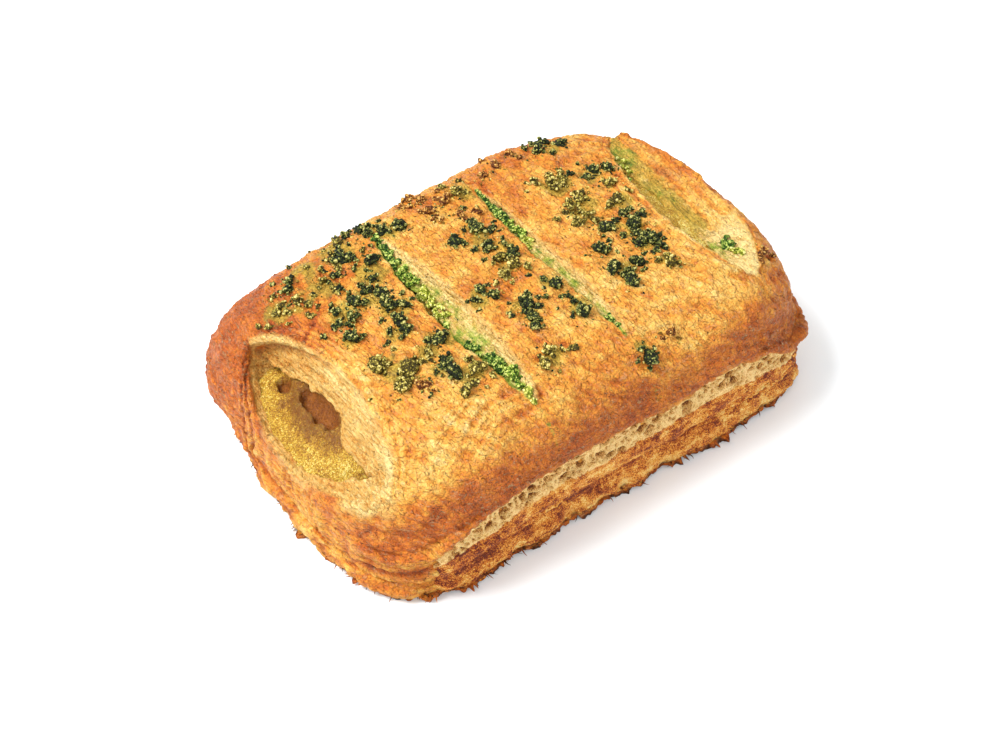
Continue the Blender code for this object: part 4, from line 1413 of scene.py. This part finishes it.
# %% Herbs in the slits
HEAPS = (
    # slit, along it, across it, half spread across, spread along, how many, size, kind
    (1, 0.93, 0.0, 0.5, 0.04, 12, 1.1, "green"), (1, 0.78, -0.15, 0.5, 0.06, 20, 1.1, "green"),
    (1, 0.56, -0.25, 0.45, 0.08, 28, 1.0, "leaf"), (1, 0.36, -0.2, 0.45, 0.07, 24, 1.0, "lime"),
    (1, 0.16, -0.25, 0.4, 0.06, 20, 1.0, "lime"), (1, -0.02, -0.6, 0.25, 0.06, 7, 0.7, "leaf"),
    (1, -0.28, -0.45, 0.35, 0.08, 14, 0.9, "green"), (1, -0.50, -0.05, 0.45, 0.07, 26, 1.2, "green"),
    (1, -0.70, 0.05, 0.5, 0.06, 26, 1.2, "leaf"), (1, -0.93, 0.0, 0.4, 0.03, 8, 1.0, "lime"),
    (2, 0.86, -0.1, 0.5, 0.05, 12, 0.9, "green"), (2, 0.64, 0.0, 0.5, 0.07, 18, 1.1, "green"),
    (2, 0.46, -0.1, 0.5, 0.06, 16, 1.1, "leaf"), (2, 0.30, 0.1, 0.5, 0.05, 10, 0.9, "lime"),
    (2, -0.80, -0.1, 0.4, 0.07, 8, 0.6, "green"), (3, -0.55, 0.25, 0.16, 0.03, 14, 1.2, "green"),
    (3, -0.67, 0.22, 0.2, 0.03, 10, 0.9, "lime"), (3, 0.66, -0.55, 0.15, 0.06, 8, 0.8, "lime"),
    (3, 0.30, -0.75, 0.12, 0.08, 7, 0.7, "leaf"), (3, -0.42, -0.80, 0.1, 0.03, 6, 0.9, "green"),
)
HERB_KNOBS = 5
HERB_END = 0.97


def slit_spot(slit, t, s):
    """The place seen from above that lies at (t, s) in a slit's own frame."""
    (cx, cy, _), length, width, _, lean, turn, _ = slit
    half = width / 2 * math.cos(math.radians(lean)) * (1 - t * t) ** LENS_POWER
    angle = math.radians(turn)
    dx, dy = s * half, t * length / 2
    x = cx + dx * math.cos(angle) - dy * math.sin(angle)
    y = cy + dx * math.sin(angle) + dy * math.cos(angle)
    return x, y


draw = random.Random(53)
herbs = {"green": [], "leaf": [], "lime": []}
for index, t0, s0, wide_across, wide, count, radius, kind in HEAPS:
    for _ in range(count):
        t = max(-HERB_END, min(HERB_END, draw.gauss(t0, wide)))
        s = s0 + draw.uniform(-wide_across, wide_across)
        size = radius * draw.uniform(0.4, 0.95)
        seed = draw.randrange(1, 900)
        turned = any_turn(draw)
        stretch = np.array((draw.uniform(0.9, 1.4), draw.uniform(0.8, 1.05), 0.8))
        x, y = slit_spot(SLITS[index], t, s)
        middle = set_down(x, y, draw.uniform(0.1, 1.0) * size)
        herbs[kind].append(cluster(TINY_BALL, middle, size, turned, stretch, seed, HERB_KNOBS))
herb_pieces = {kind: join_crumbs(f"herbs_{kind}", made) for kind, made in herbs.items()}

# %% [markdown]
# Now the finishes. Colours are picked as 8-bit screen values, since that is how one reads them
# off a picture, and turned into the linear values that shaders expect. A recipe adds a node,
# sets it up and wires it in one call, and knows a little arithmetic. Every colour and bump
# comes from such nodes and the kept amounts, so no picture is needed anywhere. Plain colour
# per piece would be simpler, but a pastry has hardly two places of the same brown.

# %% Paint and nodes
def paint(red, green, blue):
    """A linear colour from 8-bit screen values."""
    def linear(value):
        share = value / 255
        return share / 12.92 if share <= 0.04045 else ((share + 0.055) / 1.055) ** 2.4
    return linear(red), linear(green), linear(blue), 1.0


class Recipe:
    """A material's nodes, each added and wired in one call."""

    def __init__(self, name):
        self.material = bpy.data.materials.new(name)
        self.material.use_nodes = True
        self.tree = self.material.node_tree
        self.shader = self.tree.nodes["Principled BSDF"]
        self.place = self.add("ShaderNodeTexCoord").outputs["Object"]

    def add(self, kind, inputs=None, **settings):
        """A new node, set up and wired."""
        made = self.tree.nodes.new(kind)
        for key, value in settings.items():
            setattr(made, key, value)
        self.wire(made, inputs or {})
        return made

    def wire(self, made, inputs):
        """Link every socket that is given, and set every plain value on the node itself."""
        for key, value in inputs.items():
            if isinstance(value, bpy.types.NodeSocket):
                self.tree.links.new(value, made.inputs[key])
            else:
                made.inputs[key].default_value = value

    def amounts(self, name):
        """The three amounts kept on the mesh under a name."""
        kept = self.add("ShaderNodeAttribute", attribute_name=name)
        parts = self.add("ShaderNodeSeparateColor", {"Color": kept.outputs["Color"]})
        return parts.outputs["Red"], parts.outputs["Green"], parts.outputs["Blue"]

    def math(self, operation, first, second=0.0):
        """One sum, product or other reckoning of two values."""
        return self.add("ShaderNodeMath", {0: first, 1: second}, operation=operation).outputs["Value"]

    def times(self, value, share):
        """A share of a value."""
        return self.math("MULTIPLY", value, share)

    def plus(self, value, *shares):
        """Add shares of other amounts, each counted from its middle, 0.5."""
        for share, other in shares:
            value = self.math("ADD", value, self.times(self.math("SUBTRACT", other, 0.5), share))
        return value

    def rise(self, value, low, high):
        """0 below low and 1 above high."""
        return self.add("ShaderNodeMapRange", {"Value": value, "From Min": low, "From Max": high},
                        interpolation_type="SMOOTHSTEP").outputs["Result"]


print("white is", [round(c, 2) for c in paint(255, 255, 255)], "and a baked gold", [
    round(c, 2) for c in paint(232, 160, 74)])

# %% [markdown]
# A finish is a recipe that also knows noise, colour ramps and bumps, and how to serve the
# result. Sizes are given in millimetres, as everywhere, so that a number in a recipe can be
# compared with a crumb or a wrinkle.

# %% Noise, colours and bumps
class Finish(Recipe):
    """A recipe with the parts that a baked surface is mixed from."""

    def noise(self, size, detail=4.0, rough=0.6, stretch=(1, 1, 1)):
        """Noise from 0 to 1 whose lumps are a size in millimetres."""
        scale = self.add("ShaderNodeMapping", {"Vector": self.place, "Scale": stretch})
        return self.add("ShaderNodeTexNoise", {
            "Vector": scale.outputs["Vector"], "Scale": 1 / (size * MM),
            "Detail": detail, "Roughness": rough}).outputs["Fac"]

    def ridges(self, size, width, detail=3.0, stretch=(1, 1, 1)):
        """Thin wandering lines, 1 in their middle, where noise of a size crosses its mean."""
        off = self.math("ABSOLUTE", self.math("SUBTRACT", self.noise(size, detail, 0.55, stretch), 0.5))
        return self.rise(off, width, 0.0)

    def ramp(self, value, *stops):
        """Colours along a value; each stop is a place and a colour."""
        made = self.add("ShaderNodeValToRGB", {"Fac": value})
        band = made.color_ramp.elements
        while len(band) < len(stops):
            band.new(1.0)
        for element, (place, colour) in zip(band, stops):
            element.position = place
            element.color = paint(*colour)
        return made.outputs["Color"]

    def mix(self, amount, first, second):
        """The first colour where the amount is 0, and the second where it is 1."""
        made = self.add("ShaderNodeMix", data_type="RGBA", blend_type="MIX")
        self.wire(made, {"Factor": amount, 6: first, 7: second})
        return made.outputs[2]

    def bump(self, height, distance, normal=None):
        """A bump whose distance is in millimetres, over another bump if one is given."""
        inputs = {"Height": height, "Distance": distance * MM, "Strength": 1.0}
        if normal is not None:
            inputs["Normal"] = normal
        return self.add("ShaderNodeBump", inputs).outputs["Normal"]

    def roughen(self, value, low, high):
        """Set the roughness, from low to high as a value goes from 0 to 1."""
        rough = self.add("ShaderNodeMapRange", {"Value": value, "To Min": low, "To Max": high})
        self.wire(self.shader, {"Roughness": rough.outputs["Result"]})

    def soak(self, weight, radius, depth):
        """Let light soak in by a depth in millimetres, red further than blue."""
        self.wire(self.shader, {"Subsurface Weight": weight, "Subsurface Radius": radius,
                                "Subsurface Scale": depth * MM})

    def served(self, colour, mirror, normal=None):
        """The material, with its colour, how strongly it mirrors and its bump."""
        self.wire(self.shader, {"Base Color": colour, "Specular IOR Level": mirror})
        if normal is not None:
            self.wire(self.shader, {"Normal": normal})
        return self.material


print("a finish knows", ", ".join(name for name in vars(Finish) if not name.startswith("_")))

# %% [markdown]
# The crust's recipe turns browning into colour with one ramp from cream through gold and orange
# to red-brown, as dough does in the oven. Over it lies a painted sheen, pale patches that stand
# for highlights on the glaze, and along its wrinkles a darker colour, partly browning and partly
# painted shade. The dough of the openings has a ramp of its own. The herb stain, the green and
# the burnt edge are mixed over both, each by its own amount.

# %% The crust's colours
BAKED = (
    # place on the ramp, colour as a screen shows it
    (0.00, (248, 216, 138)), (0.22, (244, 192, 94)), (0.40, (236, 162, 62)),
    (0.56, (220, 131, 44)), (0.72, (198, 102, 34)), (0.86, (160, 70, 24)), (1.00, (102, 40, 18)),
)
DOUGH = (
    (0.00, (244, 214, 142)), (0.20, (228, 188, 112)), (0.45, (216, 166, 86)),
    (0.75, (204, 140, 58)), (1.00, (170, 98, 36)),
)
STAINED = ((0.25, (208, 180, 74)), (0.70, (148, 128, 42)))
GREENED = ((0.20, (214, 204, 116)), (0.48, (164, 176, 60)), (0.80, (92, 128, 40)))
CHARRED = ((0.30, (46, 26, 16)), (0.70, (112, 62, 28)))
# Painted sheen: pale patches that stand for highlights on the egg glaze.
PAINTED_SHEEN, PAINTED_SHEEN_SHARE = (255, 222, 156), 0.42
# Wrinkle colour: browned lines with painted shade in them.
WRINKLE_BROWN_AND_SHADE, WRINKLE_BROWN_AND_SHADE_SHARE = (166, 82, 32), 0.44
STAIN_SHARE = 0.78


def baked_skin(mix, brown, mottle, fine, wrinkle_brown_and_shade):
    """Baked dough with a painted sheen and darker wrinkles, partly browned and partly painted shade."""
    tone = mix.plus(brown, (0.50, mix.noise(9.0, 3.0)), (0.50, mottle), (0.45, fine))
    # Where the painted sheen lies, a painted highlight over the baked colour.
    thin = mix.rise(mix.plus(0.5, (0.9, fine), (0.7, mottle)), 0.5, 0.95)
    baked = mix.mix(mix.times(thin, PAINTED_SHEEN_SHARE), mix.ramp(tone, *BAKED), paint(*PAINTED_SHEEN))
    # Along the wrinkles: browning and painted shade.
    return mix.mix(mix.times(wrinkle_brown_and_shade, WRINKLE_BROWN_AND_SHADE_SHARE), baked, paint(*WRINKLE_BROWN_AND_SHADE))


def opened_dough(mix, brown, deep, mottle, fine):
    """Dough that the knife opened, with painted shade deep down and darker along its pull lines."""
    pull = mix.ridges(0.9, 0.05, 2.0, (1.0, 0.10, 1.0))
    # deep adds painted shade down in the slits.
    tone = mix.plus(mix.math("ADD", 0.18, mix.times(deep, 0.3)), (0.6, mottle), (0.6, brown))
    tone = mix.math("ADD", tone, mix.times(pull, 0.32))
    return mix.ramp(mix.plus(tone, (0.9, fine)), *DOUGH)


def marked(mix, colour, stain, green, burnt, mottle, fine, speckle):
    """A colour with the herb stain, the green and the burnt edge over it."""
    stain_here = mix.rise(mix.plus(stain, (0.9, mottle), (0.6, fine)), 0.25, 0.9)
    stained = mix.ramp(mix.plus(mottle, (0.7, fine)), *STAINED)
    colour = mix.mix(mix.times(stain_here, STAIN_SHARE), colour, stained)
    green_here = mix.rise(mix.plus(green, (0.8, mottle), (0.5, fine)), 0.2, 0.8)
    colour = mix.mix(green_here, colour, mix.ramp(mix.plus(mottle, (0.8, fine)), *GREENED))
    burnt_here = mix.rise(mix.plus(burnt, (0.8, mottle)), 0.3, 0.9)
    return mix.mix(burnt_here, colour, mix.ramp(speckle, *CHARRED))


print("the ramp from pale to burnt has", len(BAKED), "stops")

# %% [markdown]
# The skin itself is uneven at every size. Noise gives mottling, speckle and dust; noise drawn
# out along one way gives streaks across the top and contours round the sides. Thin wandering
# lines are wrinkles and crackle, which darken the colour, partly as browning and partly as
# painted shade, and also dent the bump. A little light soaks in, and a thin coat of egg gives a
# soft shine.

# %% The crust's finish
STREAKED, LEVEL = (1.0, 0.12, 1.0), (0.14, 0.14, 1.0)
CRUST_SOAK = (1.0, 0.5, 0.2)


def crust_finish():
    """The glazed crust with its wrinkles, pale openings, stains and burnt edges."""
    mix = Finish("baked_crust")
    brown, pale, stain = mix.amounts("baking")
    # deep carries the painted shade of the slits' walls.
    burnt, deep, green = mix.amounts("marks")
    mottle = mix.noise(2.0, 4.0, 0.65)
    speckle = mix.noise(0.55, 3.0)
    streak = mix.noise(0.55, 3.0, stretch=STREAKED)
    contour = mix.noise(0.60, 3.0, stretch=LEVEL)
    dust = mix.noise(0.24, 2.0, 0.5)
    fine = mix.plus(0.5, (0.9, speckle), (0.5, dust), (0.9, streak), (0.9, contour))
    wrinkle = mix.ridges(2.0, 0.045, 1.5, (1.0, 0.45, 1.0))
    crackle = mix.ridges(1.1, 0.05, 1.0, (0.45, 1.0, 1.0))
    # The wrinkle and crackle lines carry browning and painted shade.
    wrinkle_brown_and_shade = mix.math("MAXIMUM", wrinkle, mix.times(crackle, 0.5))
    pale_here = mix.rise(mix.plus(pale, (0.5, mottle), (0.4, fine)), 0.15, 0.85)
    colour = mix.mix(pale_here, baked_skin(mix, brown, mottle, fine, wrinkle_brown_and_shade),
                     opened_dough(mix, brown, deep, mottle, fine))
    colour = marked(mix, colour, stain, green, burnt, mottle, fine, speckle)
    swell = mix.plus(mix.noise(1.8, 3.0, 0.55), (0.7, streak), (0.6, contour))
    creases = mix.math("MAXIMUM", wrinkle, mix.times(crackle, 0.6))
    skin = mix.bump(mix.math("SUBTRACT", 1.0, creases), 0.20, normal=mix.bump(swell, 2.2))
    mix.roughen(mix.plus(mottle, (0.6, speckle)), 0.36, 0.66)
    mix.soak(0.10, CRUST_SOAK, 0.9)
    mix.wire(mix.shader, {"Coat Weight": 0.05, "Coat Roughness": 0.30})
    return mix.served(colour, 0.2, skin)


def dress(piece, material):
    """Give every face of a piece one material."""
    piece.data.materials.clear()
    piece.data.materials.append(material)
    piece.data.polygons.foreach_set("material_index", [0] * len(piece.data.polygons))


baked_crust = crust_finish()
for piece in (crust, frill, curls):
    dress(piece, baked_crust)
print("crust finish with", len(baked_crust.node_tree.nodes), "nodes")

# %% [markdown]
# The cut layers never met the glaze, so they are matt. The open crumb is a dry tan with painted
# shade in its holes, and the folds between are brown with pale leaf edges where sheets parted.

# %% The layers' finish
OPEN_CRUMB = (
    (0.00, (252, 216, 146)), (0.30, (238, 188, 108)), (0.65, (190, 130, 62)), (1.00, (112, 62, 26)),
)
BURNT_LAYER = ((0.30, (56, 32, 20)), (0.70, (126, 74, 38)))


def layer_finish():
    """The cut front: brown sheets, tan open crumb and a burnt bottom edge."""
    mix = Finish("cut_layers")
    brown, crumb, hole_shade = mix.amounts("baking")
    burnt, _, _ = mix.amounts("marks")
    mottle = mix.noise(1.6, 4.0, 0.65)
    speckle = mix.noise(0.5, 3.0)
    dust = mix.noise(0.24, 2.0, 0.5)
    sheets = mix.noise(0.6, 3.0, stretch=(0.12, 0.12, 1.0))
    fine = mix.plus(0.5, (1.4, speckle), (2.2, dust))
    baked = mix.ramp(mix.plus(brown, (0.9, mottle), (0.9, fine), (1.0, sheets)), *BAKED)
    # Painted shade in the crumb's holes.
    crumb_tone = mix.plus(mix.math("ADD", 0.04, hole_shade), (0.7, mottle), (1.0, fine))
    crumb_here = mix.rise(mix.plus(crumb, (0.5, mottle)), 0.3, 0.7)
    colour = mix.mix(crumb_here, baked, mix.ramp(crumb_tone, *OPEN_CRUMB))
    burnt_here = mix.rise(mix.plus(burnt, (0.9, mottle)), 0.35, 0.95)
    colour = mix.mix(burnt_here, colour, mix.ramp(speckle, *BURNT_LAYER))
    mix.roughen(mottle, 0.5, 0.75)
    mix.soak(0.10, CRUST_SOAK, 0.9)
    return mix.served(colour, 0.3, mix.bump(mix.noise(0.8, 5.0, 0.7), 1.1))


cut_layers = layer_finish()
dress(layers, cut_layers)
print("layer finish with", len(cut_layers.node_tree.nodes), "nodes")

# %% [markdown]
# The filling is moist: an olive-yellow mass with lighter grains and a wet shine, painted darker
# amber near the main hollow as shade under the torn edge, and smooth brown in the hollows, where
# it pulled off the dough, partly baked dough and partly painted shade.

# %% The filling's finish
MASS = (
    (0.00, (124, 72, 10)), (0.35, (176, 122, 24)), (0.62, (208, 162, 44)),
    (0.85, (226, 196, 78)), (1.00, (244, 230, 146)),
)
# Colours of the hollows: baked brown with painted shade in them.
HOLLOW_BROWN_AND_SHADE = ((0.25, (166, 98, 26)), (0.70, (124, 66, 16)))
FILLING_GRAIN, FILLING_GRAIN_SHARE = (226, 192, 78), 0.3


def filling_finish():
    """The moist mass with its grains and brown hollows."""
    mix = Finish("moist_filling")
    hollow, grain, tone_and_hollow_shade = mix.amounts("filling_marks")
    mottle = mix.noise(2.4, 4.0, 0.65)
    speckle = mix.noise(0.55, 3.0, 0.65)
    dust = mix.noise(0.26, 2.0, 0.5)
    fine = mix.plus(0.5, (1.3, speckle), (1.8, dust))
    mass = mix.ramp(mix.plus(0.20, (1.0, tone_and_hollow_shade), (1.2, mottle), (1.3, fine)), *MASS)
    mass = mix.mix(mix.times(grain, FILLING_GRAIN_SHARE), mass, paint(*FILLING_GRAIN))
    hollow_brown_and_shade = mix.ramp(mix.plus(mottle, (0.6, fine)), *HOLLOW_BROWN_AND_SHADE)
    lumpy = mix.bump(mix.noise(0.8, 4.0, 0.6), 1.3)
    mix.roughen(speckle, 0.26, 0.52)
    mix.soak(0.15, (1.0, 0.6, 0.15), 1.2)
    return mix.served(mix.mix(hollow, mass, hollow_brown_and_shade), 0.4,
                      mix.bump(mix.noise(0.3, 2.0, 0.5), 0.4, normal=lumpy))


moist_filling = filling_finish()
dress(filling, moist_filling)
print("filling finish with", len(moist_filling.node_tree.nodes), "nodes")

# %% [markdown]
# A crumb has painted shade between its grains and a painted highlight on their tips, which the
# kept tip amount tells. Each kind has four colours of its own, from painted crevice shade to
# painted glint, and each grain a tint, so that neighbours differ. One recipe serves every kind,
# since only the colours change.

# %% The crumbs' finishes
CRUMB_COLOURS = {
    # kind: painted crevice shade, body, painted lit tip, painted glint
    "dark": ((20, 26, 10), (54, 66, 22), (126, 128, 54), (206, 196, 118)),
    "olive": ((60, 50, 14), (124, 110, 34), (188, 170, 78), (232, 214, 134)),
    "brown": ((78, 38, 12), (146, 90, 34), (200, 148, 70), (230, 190, 112)),
    "gold": ((112, 80, 22), (180, 144, 50), (222, 194, 98), (242, 224, 146)),
    "green": ((32, 60, 16), (78, 116, 34), (150, 170, 70), (208, 216, 118)),
    "leaf": ((52, 80, 18), (118, 150, 42), (184, 198, 84), (224, 230, 132)),
    "lime": ((104, 116, 26), (174, 180, 58), (220, 218, 110), (240, 238, 156)),
}
CRUMB_STOPS = (0.05, 0.36, 0.68, 0.95)
CRUMB_GRANULE = 0.42


def crumb_finish(kind):
    """The finish of one kind of crumb, grainy to the smallest size."""
    mix = Finish(f"crumb_{kind}")
    tip_and_highlight, tint, _ = mix.amounts("crumb")
    mottle = mix.noise(0.8, 3.0)
    granule = mix.add("ShaderNodeTexVoronoi", {"Vector": mix.place, "Scale": 1 / (CRUMB_GRANULE * MM)})
    shade = mix.add("ShaderNodeSeparateColor", {"Color": granule.outputs["Color"]}).outputs["Red"]
    # Each granule is lighter in its middle: a painted highlight on its dome, which also bumps it.
    granule_dome_and_highlight = mix.math("SUBTRACT", 1.0, granule.outputs["Distance"])
    tone = mix.plus(mix.times(tip_and_highlight, 0.62), (0.6, tint), (0.9, shade), (1.2, mottle), (1.0, granule_dome_and_highlight))
    mix.roughen(mottle, 0.5, 0.75)
    colour = mix.ramp(tone, *zip(CRUMB_STOPS, CRUMB_COLOURS[kind]))
    return mix.served(colour, 0.2, mix.bump(granule_dome_and_highlight, 0.30))


crumb_finishes = {kind: crumb_finish(kind) for kind in CRUMB_COLOURS}
for pieces in (crumb_pieces, grain_pieces, herb_pieces):
    for kind, piece in pieces.items():
        dress(piece, crumb_finishes[kind])
print("finishes:", sorted(material.name for material in bpy.data.materials if material.users))

# %% [markdown]
# The pastry was photographed on plain white under a broad soft light from above and behind, so
# there is hardly a shadow. A white floor, a bright even sky and one large lamp do the same, and
# a weak second lamp low in front lifts the cut layers out of the dark.

# %% Floor and light
FLOOR_SIZE = 6.0
PAPER = ((0.3, (244, 249, 252)), (0.7, (248, 252, 254)))
SKY_STRENGTH = 0.84


def floor_finish():
    """White paper, a trace cooler than the pastry."""
    mix = Finish("white_paper")
    mix.wire(mix.shader, {"Roughness": 0.9})
    return mix.served(mix.ramp(mix.noise(60.0, 2.0), *PAPER), 0.1)


floor_mesh = bpy.data.meshes.new("floor")
paper = bmesh.new()
bmesh.ops.create_grid(paper, x_segments=1, y_segments=1, size=FLOOR_SIZE / 2)
paper.to_mesh(floor_mesh)
paper.free()
floor = bpy.data.objects.new("floor", floor_mesh)
floor.data.materials.append(floor_finish())
bpy.context.scene.collection.objects.link(floor)
floor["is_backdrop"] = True

sky = bpy.data.worlds.new("soft_sky")
sky.use_nodes = True
sky.node_tree.nodes["Background"].inputs["Color"].default_value = (1.0, 1.0, 1.0, 1.0)
sky.node_tree.nodes["Background"].inputs["Strength"].default_value = SKY_STRENGTH
bpy.context.scene.world = sky


def soft_lamp(name, place, size, watts):
    """A square area lamp that looks at the pastry."""
    lamp = bpy.data.lights.new(name, "AREA")
    lamp.size = size
    lamp.energy = watts
    holder = bpy.data.objects.new(name, lamp)
    holder.location = place
    holder.rotation_mode = "QUATERNION"
    holder.rotation_quaternion = Vector(place).to_track_quat("Z", "Y")
    bpy.context.scene.collection.objects.link(holder)
    return holder


lamps = [
    soft_lamp("big_window", (-0.48, 0.34, 0.86), 0.52, 14.0),
    soft_lamp("low_fill", (-0.2, -0.9, 0.5), 0.6, 3.2),
]
bpy.context.scene.view_settings.view_transform = "Standard"
print("a sky of", SKY_STRENGTH, "and lamps of", [round(lamp.data.energy, 1) for lamp in lamps], "watts")

# %% [markdown]
# The camera stands where the photographer's did: to the left of the front, looking down by a
# little under fifty degrees, with a longish lens. We place it so that the parcel's middle on
# the table lands on a chosen spot of the picture, which is a shift without tilting anything.

# %% The camera
PICTURE_WIDTH, PICTURE_HEIGHT = 1000, 751
LENS, SENSOR = 85.0, 36.0
AZIMUTH, ELEVATION = math.radians(-37.5), math.radians(49.0)
CAMERA_DISTANCE = 0.6
MIDDLE_LANDS_ON = (510.0, 398.0)

back_way = Vector((math.sin(AZIMUTH) * math.cos(ELEVATION), -math.cos(AZIMUTH) * math.cos(ELEVATION),
                   math.sin(ELEVATION)))
right_way = back_way.cross(Vector((0, 0, 1))).normalized() * -1
up_way = back_way.cross(right_way)
focal = LENS / SENSOR * PICTURE_WIDTH
aside = (MIDDLE_LANDS_ON[0] - PICTURE_WIDTH / 2) / focal * CAMERA_DISTANCE
above = (PICTURE_HEIGHT / 2 - MIDDLE_LANDS_ON[1]) / focal * CAMERA_DISTANCE
camera_data = bpy.data.cameras.new("camera")
camera_data.lens = LENS
camera_data.sensor_width = SENSOR
camera_data.clip_start = 0.01
camera = bpy.data.objects.new("camera", camera_data)
stand = Matrix((right_way, up_way, back_way)).transposed().to_4x4()
stand.translation = Vector(SHIFT) + back_way * CAMERA_DISTANCE - right_way * aside - up_way * above
camera.matrix_world = stand
bpy.context.scene.collection.objects.link(camera)
bpy.context.scene.camera = camera
print("the camera stands at", [round(v, 3) for v in stand.translation])

# %% [markdown]
# Last, we print the dressed pastry's box.

# %% Sizes and finish
low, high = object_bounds()
print("dressed:", [round((b - a) * 1000, 1) for a, b in zip(low, high)], "mm")
